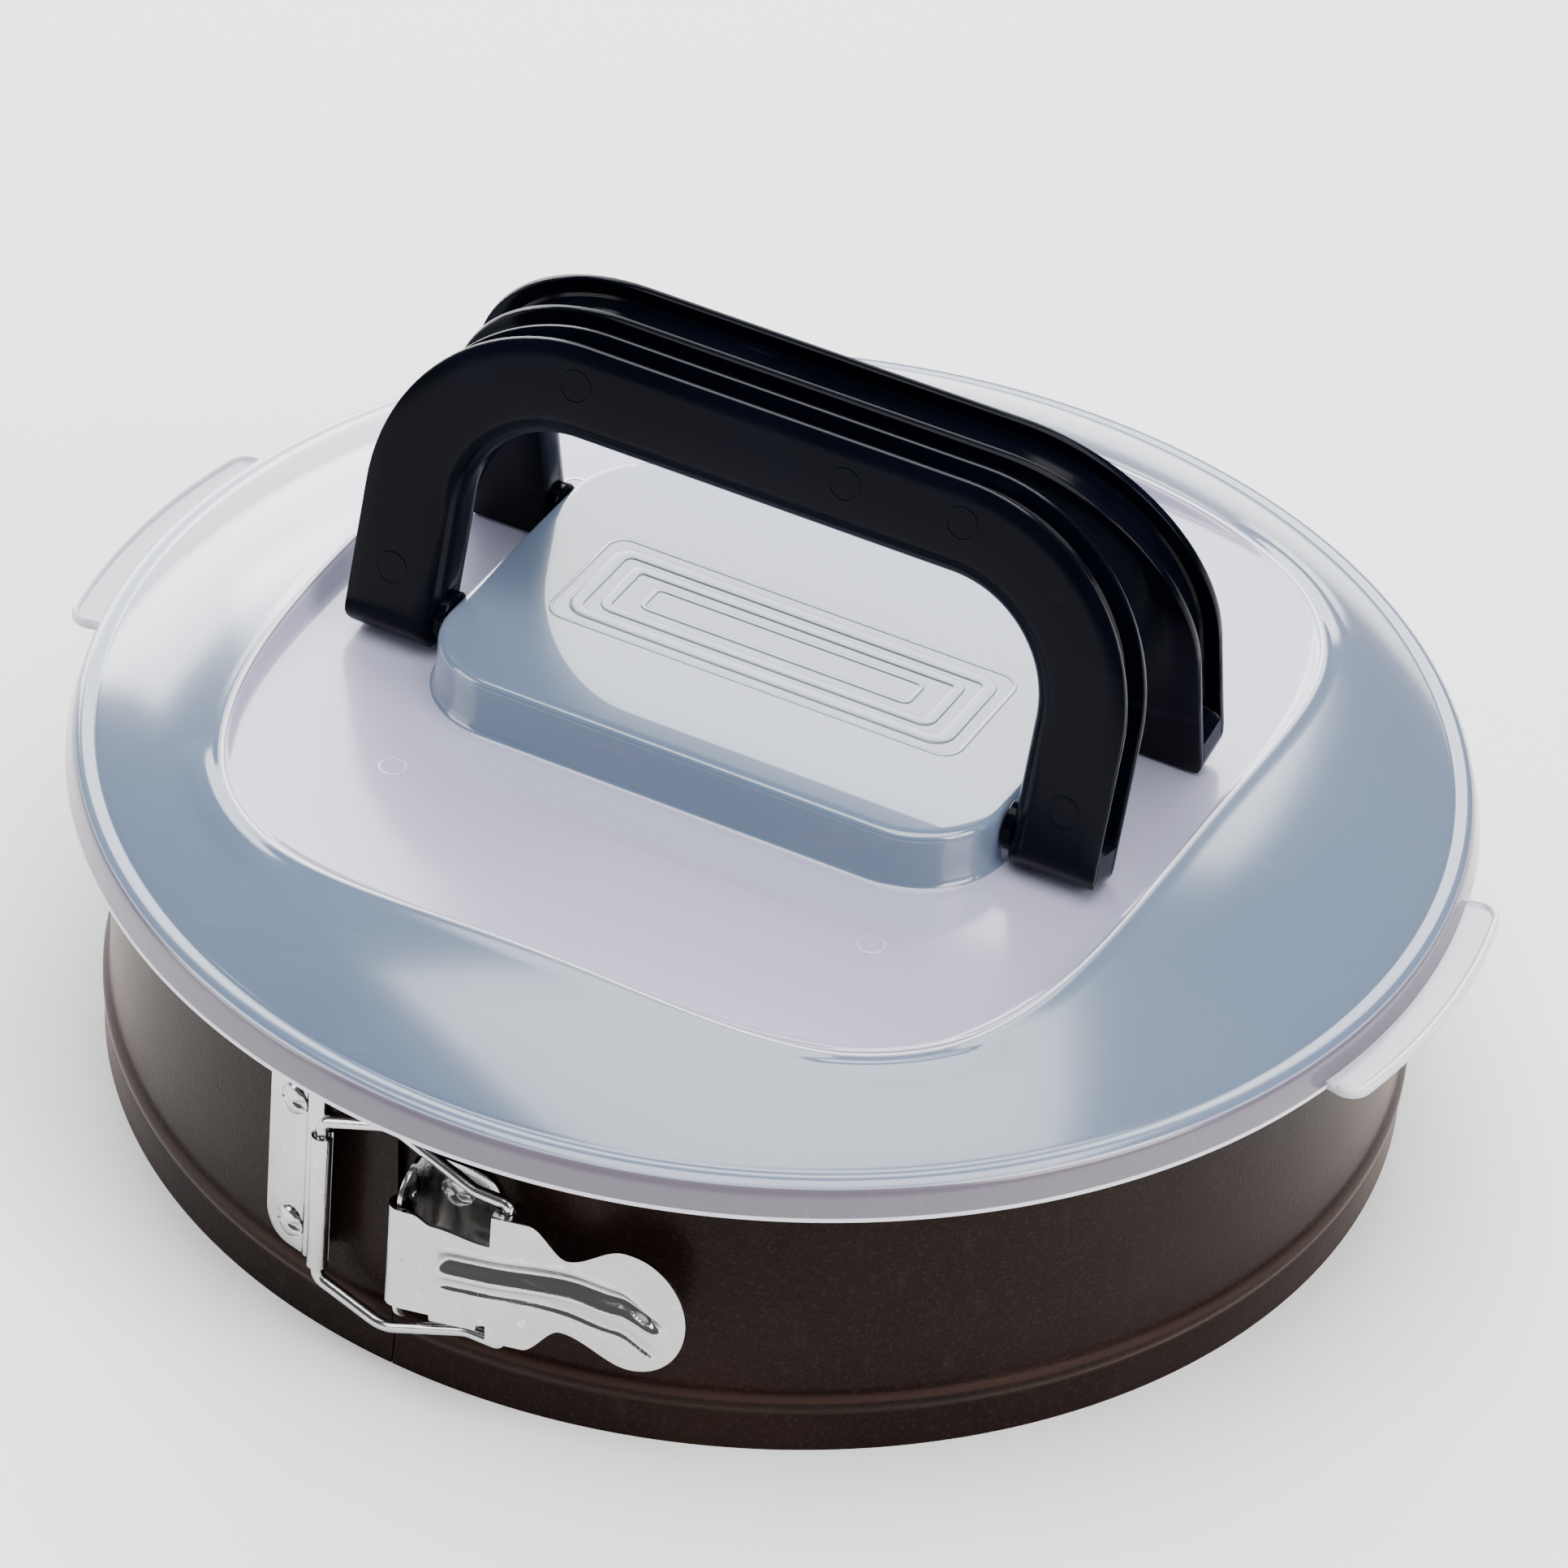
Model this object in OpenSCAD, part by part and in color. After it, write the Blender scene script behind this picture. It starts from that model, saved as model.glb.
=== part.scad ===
// Springform cake pan with a draw latch and a domed carrying lid with two folding handles.
// Millimetres. Origin on the table under the pan's centre, +Z up, latch towards -Y.

/* [Pan] */
// Outer diameter of the band's straight wall
pan_d = 260; // [200:1:320]
// Height from the table to the top of the rolled rim
pan_h = 69; // [64:1:90]
// Sheet thickness of the band
band_t = 0.5; // [0.4:0.05:0.8]
// Radius of the rolled rim's tube
curl_r = 2.2; // [1.5:0.1:3]
// How far the bead that holds the base stands out
bead_out = 1.4; // [1:0.1:2]
// Height of the middle of the bead
bead_z = 11.5; // [10:0.5:14]
// How far the band's foot flares out
foot_flare = 0.8; // [0:0.1:1.5]
// Thickness of the base plate
base_t = 0.8; // [0.6:0.1:1.2]
// Depth of the base plate's middle below its edge
base_dish = 1.5; // [0:0.1:3]

/* [Latch] */
// Height of the latch's middle line
latch_z = 36; // [34:0.5:44]
// Distance of the seam to the left of the front middle
seam_off = 9.52; // [7:0.1:12]
// Sheet thickness of the latch plates
plate_t = 0.85; // [0.6:0.05:1.2]
// Height of the hinge plate
hinge_plate_h = 42; // [36:1:46]
// Height of the bracket's plate
bracket_h = 38; // [34:1:42]
// Wire diameter of the bail
wire_d = 2.5; // [2:0.1:3]
// Length of the bail from its hinge to its tips
bail_len = 40.45; // [38:0.05:42]
// Height of the knuckle round the bail
knuckle_h = 31.6; // [24:0.2:34]
// Thickness of the lever's sheet
lever_t = 0.9; // [0.7:0.1:1.2]
// Radius of the lever's round end
lever_end_r = 13.8; // [11:0.1:15]
// Length of the lever from its pivot
lever_len = 58; // [50:1:64]
// Outer diameter of the lever's curl round the bracket
lever_curl_d = 5.3; // [5:0.1:6]
// Turn of the closed lever from +X
lever_deg = 12.1; // [10:0.1:14]
// Shank diameter of the rivets
rivet_d = 3; // [2.5:0.1:3.5]
// Head diameter of the rivets
rivet_head_d = 5.6; // [5:0.1:7]

/* [Lid] */
// Wall thickness of the lid
lid_t = 1.7; // [1.2:0.1:2.5]
// Height of the lid's skirt below its shelf
skirt_h = 5.65; // [4:0.05:9]
// Gap from the rolled rim to the inside of the skirt's top
skirt_gap = 2.7; // [1:0.1:4]
// Rise of the dome above the shelf
dome_h = 25; // [20:0.5:34]
// Half width of the handle recess along X
recess_x = 91.5; // [84:0.5:98]
// Half width of the handle recess along Y
recess_y = 101; // [90:0.5:106]
// Corner radius of the recess
recess_r = 54; // [40:1:60]
// Height of the recess floor above the shelf
recess_floor = 11.17; // [9:0.01:14]
// Half length of the raised box along X
box_x = 60.85; // [50:0.05:66]
// Half width of the raised box along Y
box_y = 43.6; // [36:0.1:50]
// Height of the raised box above the recess floor
box_h = 12; // [11:0.1:16]
// Corner radius of the raised box
box_r = 18.5; // [10:0.5:20]
// How far the lifting tabs stand out from the skirt
tab_out = 7; // [4:0.5:12]
// Half angle of each lifting tab
tab_deg = 13.7; // [8:0.1:20]

/* [Handles] */
// Distance of each handle's pivot from the middle
pivot_y = 22.08; // [18:0.02:25]
// Height of the pivots above the recess floor
pivot_up = 7.56; // [7:0.01:9]
// Half width of a handle
handle_x = 82.2; // [76:0.1:86]
// Height of a handle above its pivot
handle_h = 66.4; // [55:0.1:70]
// Outer corner radius of a handle
handle_r = 41.5; // [30:0.5:50]
// Width of a handle's bar
bar_w = 19.5; // [16:0.5:22]
// Thickness of a handle
handle_t = 11; // [9:0.1:11]
// Part of the thickness on the outer side of the pivot
handle_front = 6.94; // [6:0.01:7]
// Lean of the standing handles towards the middle
lean = 14; // [10:0.5:15]
// Depth of the groove round a handle
groove_depth = 4; // [2:0.5:6]
// Width of the rails beside the groove
rail_w = 1.75; // [1.5:0.05:2.5]
// Diameter of the pivot pegs
peg_d = 4.7; // [4:0.1:5]

/* [Fits] */
// Radial clearance of pins and pegs
pin_gap = 0.05; // [0.02:0.01:0.1]
// Gap between seated pieces
seat_gap = 0.1; // [0.05:0.01:0.2]
// Gap between pieces that move apart
part_gap = 0.3; // [0.2:0.05:0.5]

/* [Hidden] */
$fn = 96;
eps = 0.01;
band_r = pan_d / 2;
half_gap_deg = asin(part_gap / 2 / band_r);
mm_deg = 180 / (PI * band_r);
seam_deg = -90 - asin(seam_off / band_r);
rim_r = band_r - band_t + 2 * curl_r;
bead_flat = 1.1;
bead_slope = 2.2;
plate_r0 = band_r + seat_gap;
plate_r1 = plate_r0 + plate_t;
hinge_deg0 = seam_deg - 32.45 * mm_deg;
hinge_deg1 = seam_deg - 18.15 * mm_deg;
hinge_rivet_deg = seam_deg - 25.87 * mm_deg;
bracket_deg0 = seam_deg + 4.9 * mm_deg;
bracket_deg1 = seam_deg + 21.55 * mm_deg;
bracket_rivet_deg = seam_deg + 12.59 * mm_deg;
hinge_rivet_up = 15;
bracket_rivet_up = 12.6;
knuckle_or = wire_d / 2 + plate_t + pin_gap;
bail_x = -25;
bail_y = -(band_r + 3.5);
bail_deg = -0.85;
bail_spread = 19;
bail_wide = 24.6;
bail_narrow = 17.2;
bail_tip = 15.5;
wire_step = 0.02;
lever_x = -4.6;
lever_y = -(band_r + 8.4);
curl_half = 11.7;
flange_half = bracket_h / 2;
flange_out = -lever_y + 1.4;
bar_in = -lever_y - 1.4;
ear_half = 15.2;
ear_hole_s = 20.5;
ear_reach = 2.5;
neck_half = 8.7;
recess_bow = 400;
dome_round = 0.5013;
dome_drop = 0.4933;
shelf_z = pan_h + part_gap + lid_t;
lid_r = rim_r + skirt_gap + lid_t + 1.46;
skirt_top_r = rim_r + skirt_gap + lid_t;
gutter_r = rim_r + 0.1;
floor_z = shelf_z + recess_floor;
box_top = floor_z + box_h;
pivot_z = floor_z + pivot_up;
handle_back = handle_t - handle_front;
foot_r = pivot_up - 0.36;
inner_x = handle_x - bar_w;
inner_h = handle_h - bar_w - 0.5;
inner_r = 22;

// Arc of a ring from one direction to another, turned from a section in (radius, height).
module arc(from, to) {
    rotate([0, 0, from]) rotate_extrude(angle = to - from, $fn = 180) children();
}

// Hole or pin along the radius at a direction and height.
module along_radius(deg, z, r) {
    rotate([0, 0, deg]) translate([r, 0, z]) rotate([0, 90, 0]) children();
}

// Section of the band's sheet: flared foot, bead, straight wall and rolled rim.
module band_section() {
    wall = [
        [band_r + foot_flare, 0],
        [band_r + foot_flare / 2, 4],
        [band_r, bead_z - bead_flat - bead_slope],
        [band_r + bead_out, bead_z - bead_flat],
        [band_r + bead_out, bead_z + bead_flat],
        [band_r, bead_z + bead_flat + bead_slope],
        [band_r, pan_h - curl_r],
    ];
    last = len(wall) - 1;
    polygon(concat(wall, [for (i = [0:last]) wall[last - i] - [band_t, 0]]));
    translate([band_r - band_t + curl_r, pan_h - curl_r]) difference() {
        circle(r = curl_r, $fn = 40);
        circle(r = curl_r - band_t, $fn = 40);
    }
}

module band_half(from, to, rivet_deg, rivet_up) {
    difference() {
        arc(from, to) band_section();
        for (side = [-1, 1])
            along_radius(rivet_deg, latch_z + side * rivet_up, band_r - 5)
                cylinder(d = rivet_d + 2 * seat_gap, h = 10);
    }
}

module band_right() {
    color([0.10, 0.08, 0.08])
    band_half(seam_deg + half_gap_deg, 90 - half_gap_deg, bracket_rivet_deg, bracket_rivet_up);
}

module band_left() {
    color([0.10, 0.08, 0.08])
    band_half(90 + half_gap_deg, 360 + seam_deg - half_gap_deg, hinge_rivet_deg, hinge_rivet_up);
}

module base_plate() {
    edge = band_r - band_t + bead_out - part_gap;
    step = band_r - 8;
    z0 = bead_z - base_t / 2;
    color([0.12, 0.10, 0.10])
    rotate_extrude($fn = 180) polygon([
        [0, z0 - base_dish],
        [step - base_dish, z0 - base_dish],
        [step, z0],
        [edge, z0],
        [edge, z0 + base_t],
        [step - 0.4, z0 + base_t],
        [step - base_dish - 0.4, z0 + base_t - base_dish],
        [0, z0 + base_t - base_dish],
    ]);
}

// Curved sheet on the outside of the band, with its two rivet holes.
module curved_plate(from, to, h, rivet_deg, rivet_up) {
    difference() {
        arc(from, to) translate([plate_r0, latch_z - h / 2]) square([plate_t, h]);
        for (side = [-1, 1])
            along_radius(rivet_deg, latch_z + side * rivet_up, band_r - 5)
                cylinder(d = rivet_d + 2 * seat_gap, h = 10);
    }
}

module hinge_plate() {
    web_from = [cos(hinge_deg1) * (plate_r0 + plate_t / 2), sin(hinge_deg1) * (plate_r0 + plate_t / 2)];
    web_to = [bail_x - knuckle_or + plate_t / 2, bail_y];
    web = web_to - web_from;
    color([0.80, 0.80, 0.79])
    difference() {
        union() {
            curved_plate(hinge_deg0, hinge_deg1, hinge_plate_h, hinge_rivet_deg, hinge_rivet_up);
            translate([web_from[0], web_from[1], latch_z - knuckle_h / 2])
                rotate([0, 0, atan2(web[1], web[0])])
                    translate([-plate_t / 2, -plate_t / 2, 0])
                        cube([norm(web) + plate_t / 2, plate_t, knuckle_h]);
            translate([bail_x, bail_y, latch_z - knuckle_h / 2])
                cylinder(r = knuckle_or, h = knuckle_h, $fn = 48);
        }
        translate([bail_x, bail_y, latch_z - knuckle_h])
            cylinder(d = wire_d + 2 * pin_gap, h = 2 * knuckle_h, $fn = 48);
    }
}

module rivet(deg, z) {
    along_radius(deg, z, band_r - band_t - seat_gap) {
        cylinder(d = rivet_d, h = band_t + 3 * seat_gap + plate_t + eps, $fn = 48);
        translate([0, 0, -0.6]) cylinder(d = rivet_head_d, h = 0.6 + eps, $fn = 48);
        translate([0, 0, band_t + 3 * seat_gap + plate_t])
            rotate_extrude($fn = 48) polygon([
                [0, 0],
                [rivet_head_d / 2, 0],
                [rivet_head_d / 2 - 0.3, 0.6],
                [rivet_head_d / 2 - 1.1, 1.05],
                [0, 1.2],
            ]);
    }
}

module rivet_pair(deg, up) {
    color([0.84, 0.84, 0.84])
    for (side = [-1, 1])
        rivet(deg, latch_z + side * up);
}

module hinge_plate_rivets() { rivet_pair(hinge_rivet_deg, hinge_rivet_up); }

module bracket_rivets() { rivet_pair(bracket_rivet_deg, bracket_rivet_up); }

// Straight wire between two points of the bail's own plane, run past its ends to fill the bends.
module wire(from, to, d, over) {
    way = to - from;
    start = from - way / norm(way) * over;
    translate([start[0], start[1], 0]) rotate([0, 90, atan2(way[1], way[0])])
        cylinder(d = d, h = norm(way) + 2 * over, $fn = 32);
}

// Each straight is a hair thinner than the one before, so that no two equal wires cross.
module wire_bail() {
    path = [
        [0, bail_spread],
        [15, bail_wide],
        [33, bail_narrow],
        [bail_len, bail_narrow],
    ];
    color([0.78, 0.78, 0.78])
    translate([bail_x, bail_y, latch_z]) rotate([90, 0, bail_deg]) {
        wire([0, -bail_spread], [0, bail_spread], wire_d, wire_d * 0.36);
        for (side = [0, 1]) mirror([0, side]) {
            for (i = [0:2])
                wire(path[i], path[i + 1], wire_d - wire_step * (i + 1), wire_d * 0.2);
            wire([bail_len, bail_tip], [bail_len, bail_narrow], wire_d, 0);
        }
    }
}

// Outline of the lever's sheet: along the lever and up from its middle line.
module lever_outline() {
    end_s = lever_len - lever_end_r;
    upper = [
        [0, curl_half],
        [3, curl_half],
        [6.6, 9.6],
        [17.9, 7.8],
        [17.9, ear_half],
        [26, ear_half],
        [29, 11.3],
        [32, 9.2],
        [35, neck_half],
        [end_s - 5, neck_half + 2],
        [end_s, neck_half + 1],
    ];
    lower = [
        [end_s, -neck_half - 1],
        [end_s - 5, -neck_half - 2],
        [35, -neck_half],
        [32, -9.2],
        [29, -11.3],
        [26, -ear_half],
        [17.9, -ear_half],
        [16, -curl_half - 1.3],
        [7, -curl_half - 1.3],
        [7, -curl_half],
        [0, -curl_half],
    ];
    polygon(concat(upper, lower));
    translate([end_s, 0]) circle(r = lever_end_r);
}

module lever() {
    face = lever_curl_d / 2;
    color([0.82, 0.82, 0.81])
    translate([lever_x, lever_y, latch_z]) rotate([0, 0, lever_deg])
    difference() {
        union() {
            translate([0, -face + lever_t, 0]) rotate([90, 0, 0]) linear_extrude(lever_t) lever_outline();
            cylinder(d = lever_curl_d, h = 2 * curl_half, center = true, $fn = 48);
            for (side = [-1, 1])
                translate([17.9, -face, side * (ear_half - lever_t / 2) - lever_t / 2])
                    cube([6.1, face + ear_reach, lever_t]);
        }
        cylinder(d = lever_curl_d - 2 * lever_t, h = 2 * curl_half + 2, center = true, $fn = 48);
        translate([ear_hole_s, 0, 0])
            cylinder(d = wire_d + 6 * pin_gap, h = 2 * ear_half + 2, center = true, $fn = 48);
        for (cut = [[0, curl_half + eps], [0, -curl_half - 4]])
            translate([-4, -face - 1, cut[1]]) cube([4, 2 * face, 4 - eps]);
    }
}

module lever_bracket() {
    x0 = lever_x - plate_t / 2;
    outline = [
        [plate_r0 + 0.2, flange_half],
        [plate_r0 + 3, flange_half - 0.3],
        [plate_r0 + 6.4, flange_half - 2],
        [flange_out - 0.9, flange_half - 4.6],
        [flange_out, curl_half + 0.5],
    ];
    last = len(outline) - 1;
    color([0.80, 0.80, 0.79]) {
        curved_plate(bracket_deg0, bracket_deg1, bracket_h, bracket_rivet_deg, bracket_rivet_up);
        difference() {
            translate([x0, 0, latch_z]) rotate([90, 0, 90]) linear_extrude(plate_t)
                mirror([1, 0]) polygon(concat(outline, [for (i = [0:last]) [outline[last - i][0],
                    -outline[last - i][1]]]));
            translate([x0 - 1, -bar_in, latch_z - curl_half - 0.5])
                cube([plate_t + 2, bar_in - plate_r0 - 3.9, 2 * curl_half + 1]);
        }
    }
}

// Height of the outside of the dome at a radius.
function dome_z(r) = shelf_z + dome_h * (1 - dome_round * pow(r / gutter_r, 2) - dome_drop * pow(r / gutter_r, 6));

function dome_line(from, steps) = [for (i = [0:steps]) let (r = from * (1 - i / steps)) [r, dome_z(r)]];

// Solid under the lid's surface, shrunk by a wall.
module lid_envelope(wall) {
    top = gutter_r - wall * 0.4;
    rotate_extrude($fn = 180) polygon(concat(
        [
            [0, pan_h - 20],
            [lid_r - wall, pan_h - 20],
            [lid_r - wall, shelf_z - lid_t - skirt_h],
            [skirt_top_r - wall, shelf_z - 1 - wall * 0.42],
            [skirt_top_r - wall - 0.7, shelf_z - 0.3 - wall * 0.82],
            [skirt_top_r - wall - 1.6, shelf_z - wall],
            [top, shelf_z - wall],
        ],
        [for (p = dome_line(top - 0.5, 18)) [p[0], p[1] - wall]]
    ));
}

module rounded(x, y, r) {
    square([2 * x, 2 * (y - r)], center = true);
    square([2 * (x - r), 2 * y], center = true);
    for (sx = [-1, 1], sy = [-1, 1])
        translate([sx * (x - r), sy * (y - r)]) circle(r = r);
}

// Plan of the recess: a rounded rectangle with slightly bowed sides.
module recess_plan(grow) {
    intersection() {
        rounded(recess_x + grow, recess_y + grow, recess_r + grow);
        for_sides(recess_x - recess_bow) circle(r = recess_bow + grow, $fn = 360);
        rotate([0, 0, 90]) for_sides(recess_y - recess_bow) circle(r = recess_bow + grow, $fn = 360);
    }
}

// What two copies of a shape, moved either way along X, have in common.
module for_sides(x) {
    intersection() {
        translate([x, 0]) children();
        translate([-x, 0]) children();
    }
}

// The lid's outer form, or its inside when shrunk by the wall.
module lid_form(wall) {
    difference() {
        lid_envelope(wall);
        translate([0, 0, floor_z - wall]) linear_extrude(40) difference() {
            recess_plan(wall);
            rounded(box_x - wall, box_y - wall, box_r - wall);
        }
    }
    translate([0, 0, floor_z - wall - 1]) linear_extrude(box_h + 1)
        rounded(box_x - wall, box_y - wall, box_r - wall);
}

// Plan of one lifting tab with round corners.
module tab_plan() {
    r = lid_r + tab_out;
    round_r = 4;
    inset = asin(round_r / (r - round_r));
    intersection() {
        union() {
            circle(r = r - round_r, $fn = 180);
            intersection() {
                circle(r = r, $fn = 180);
                wedge(tab_deg - inset, 2 * r);
            }
            for (side = [-1, 1])
                rotate([0, 0, side * (tab_deg - inset)]) translate([r - round_r, 0]) circle(r = round_r);
        }
        wedge(tab_deg, 2 * r);
    }
}

module wedge(half_deg, r) {
    polygon([[0, 0], [r * cos(half_deg), -r * sin(half_deg)], [r * cos(half_deg), r * sin(half_deg)]]);
}

module tabs() {
    z0 = shelf_z - lid_t - skirt_h;
    for (turn = [0, 180]) rotate([0, 0, turn]) {
        translate([0, 0, z0]) linear_extrude(lid_t) difference() {
            tab_plan();
            circle(r = lid_r - 1, $fn = 180);
        }
        translate([0, 0, z0]) linear_extrude(lid_t + 0.8) difference() {
            tab_plan();
            circle(r = lid_r + tab_out - 1.2, $fn = 180);
        }
    }
}

module lid() {
    skirt_z = shelf_z - lid_t - skirt_h;
    color([0.70, 0.74, 0.84])
    difference() {
        union() {
            difference() {
                lid_form(0);
                translate([0, 0, pan_h - 30]) cylinder(r = lid_r + 10, h = skirt_z - pan_h + 30);
            }
            tabs();
        }
        lid_form(lid_t);
        for (side = [-1, 1])
            translate([0, side * pivot_y, pivot_z]) rotate([0, 90, 0])
                cylinder(d = peg_d + 2 * pin_gap, h = 2 * box_x + 2, center = true, $fn = 48);
    }
}

// Plan of an arch that stands from below the pivots, round at its top corners.
module arch(x, h, r, low) {
    translate([-x, low]) square([2 * x, h - r - low]);
    translate([-x + r, low]) square([2 * (x - r), h - low]);
    for (side = [-1, 1])
        translate([side * (x - r), h - r]) circle(r = r);
}

// A handle in its own frame: pivots on the X axis, height along Z, outer face towards -Y.
module handle() {
    groove_low = 2;
    intersection() {
        difference() {
            translate([0, handle_back, 0]) rotate([90, 0, 0]) linear_extrude(handle_t) difference() {
                arch(handle_x, handle_h, handle_r, -foot_r);
                arch(inner_x, inner_h, inner_r, -foot_r - 1);
            }
            translate([0, handle_back - rail_w, 0]) rotate([90, 0, 0])
                linear_extrude(handle_t - 2 * rail_w) difference() {
                    arch(handle_x + 5, handle_h + 5, handle_r + 5, groove_low);
                    arch(handle_x - groove_depth, handle_h - groove_depth, handle_r - groove_depth,
                        groove_low - 1);
                }
        }
        union() {
            translate([-handle_x - 1, -handle_front - 1, 0])
                cube([2 * handle_x + 2, handle_t + 2, handle_h + 1]);
            rotate([0, 90, 0]) cylinder(r = foot_r, h = 2 * handle_x + 2, center = true);
        }
    }
    for (side = [-1, 1])
        translate([side * (inner_x + 0.5), 0, 0]) rotate([0, -side * 90, 0]) {
            cylinder(d = peg_d, h = inner_x + 0.5 - (box_x - lid_t - 1.2), $fn = 48);
            cylinder(r = 5.25, h = inner_x + 0.5 - box_x - 0.35, $fn = 48);
        }
}

module front_handle() {
    color([0.07, 0.07, 0.08])
    translate([0, -pivot_y, pivot_z]) rotate([-lean, 0, 0]) handle();
}

module back_handle() {
    color([0.07, 0.07, 0.08])
    rotate([0, 0, 180]) translate([0, -pivot_y, pivot_z]) rotate([-lean, 0, 0]) handle();
}

band_right();
band_left();
base_plate();
hinge_plate();
hinge_plate_rivets();
wire_bail();
lever();
lever_bracket();
bracket_rivets();
lid();
front_handle();
back_handle();
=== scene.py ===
import math
import bmesh
import bpy
import numpy as np
from mathutils import Matrix, Vector


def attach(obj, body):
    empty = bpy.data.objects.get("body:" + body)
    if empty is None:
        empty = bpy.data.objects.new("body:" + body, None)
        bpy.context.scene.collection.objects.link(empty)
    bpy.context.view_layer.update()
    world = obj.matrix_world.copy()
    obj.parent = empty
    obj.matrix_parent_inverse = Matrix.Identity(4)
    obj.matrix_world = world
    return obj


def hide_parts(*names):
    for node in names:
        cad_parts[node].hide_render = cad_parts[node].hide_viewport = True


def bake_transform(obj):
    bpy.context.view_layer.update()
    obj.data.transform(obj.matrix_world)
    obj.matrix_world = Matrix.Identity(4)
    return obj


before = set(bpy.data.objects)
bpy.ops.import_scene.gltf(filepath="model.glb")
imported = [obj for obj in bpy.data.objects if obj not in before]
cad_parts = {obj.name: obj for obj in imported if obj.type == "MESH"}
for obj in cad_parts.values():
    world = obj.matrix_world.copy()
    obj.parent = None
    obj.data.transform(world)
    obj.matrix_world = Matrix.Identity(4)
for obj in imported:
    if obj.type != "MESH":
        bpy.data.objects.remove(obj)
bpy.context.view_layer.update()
print("frame loaded")


# The helpers work in millimetres, and makePiece turns them into metres.
def unit(v):
    v = np.asarray(v, float)
    return v / np.linalg.norm(v)


def smooth(x):
    x = max(0.0, min(1.0, x))
    return x * x * (3 - 2 * x)


# How far a corner of radius r cuts in at a distance d from its side.
def cornerCut(r, d):
    return 0 if d >= r or r <= 0 else r - math.sqrt(max(0, r * r - (r - d) ** 2))


def arcPoints(cx, cy, r, a0, a1, count):
    return [(cx + r * math.cos(a), cy + r * math.sin(a)) for a in np.radians(np.linspace(a0, a1, count))]


def addObject(name, data):
    piece = bpy.data.objects.new(name, data)
    bpy.context.scene.collection.objects.link(piece)
    return piece


def makePiece(name, verts, faces, material, sharp=32):
    mesh = bpy.data.meshes.new(name)
    mesh.from_pydata((np.asarray(verts, float) * 0.001).tolist(), [], faces)
    mesh.validate()
    mesh.update()
    mesh.polygons.foreach_set("use_smooth", [True] * len(mesh.polygons))
    if sharp:
        mesh.set_sharp_from_angle(angle=math.radians(sharp))
    mesh.materials.append(material)
    return addObject(name, mesh)


# Turns what a piece's modifiers give into its plain mesh.
def bakeModifiers(piece):
    evaluated = piece.evaluated_get(bpy.context.evaluated_depsgraph_get())
    mesh = bpy.data.meshes.new_from_object(evaluated)
    piece.modifiers.clear()
    piece.data = mesh
    return mesh


def gridFaces(rows, cols, wrapCols=True, wrapRows=False, base=0):
    faces = []
    for i in range(rows if wrapRows else rows - 1):
        for j in range(cols if wrapCols else cols - 1):
            a, b = i * cols, ((i + 1) % rows) * cols
            k = (j + 1) % cols
            faces.append((base + a + j, base + a + k, base + b + k, base + b + j))
    return faces


def mergeParts(parts):
    verts, faces = [], []
    for v, f in parts:
        base = sum(len(x) for x in verts)
        verts.append(np.asarray(v, float))
        faces += [tuple(i + base for i in q) for q in f]
    return np.concatenate(verts), faces


# Turns (radius, height) points about +Z. Radii of zero become single points.
def lathe(profile, count=48, closed=True):
    rings, verts, faces = [], [], []
    for r, z in profile:
        if r < 1e-6:
            rings.append([len(verts)])
            verts.append((0, 0, z))
        else:
            rings.append(list(range(len(verts), len(verts) + count)))
            verts += [(r * math.cos(t), r * math.sin(t), z) for t in np.arange(count) * 2 * math.pi / count]
    pairs = list(zip(rings, rings[1:])) + ([(rings[-1], rings[0])] if closed else [])
    for a, b in pairs:
        for j in range(count):
            k = (j + 1) % count
            if len(a) == 1 and len(b) > 1:
                faces.append((a[0], b[k], b[j]))
            elif len(b) == 1 and len(a) > 1:
                faces.append((a[j], a[k], b[0]))
            elif len(a) > 1:
                faces.append((a[j], a[k], b[k], b[j]))
    return np.array(verts), faces


# Polyline with each inner corner rounded to its own radius.
def roundPath(points, radii, step=8):
    out = [np.array(points[0], float)]
    for i in range(1, len(points) - 1):
        p = np.array(points[i], float)
        u, w = unit(p - points[i - 1]), unit(np.array(points[i + 1]) - p)
        turn = math.acos(max(-1, min(1, float(u @ w))))
        if turn < 1e-3 or radii[i - 1] <= 0:
            out.append(p)
            continue
        cut = radii[i - 1] * math.tan(turn / 2)
        side = unit(w - u * (u @ w))
        centre = p - u * cut + side * radii[i - 1]
        count = max(3, int(math.degrees(turn) / step) + 1)
        for t in np.linspace(0, turn, count):
            out.append(centre + radii[i - 1] * (u * math.sin(t) - side * math.cos(t)))
    out.append(np.array(points[-1], float))
    return np.array(out)


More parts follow.
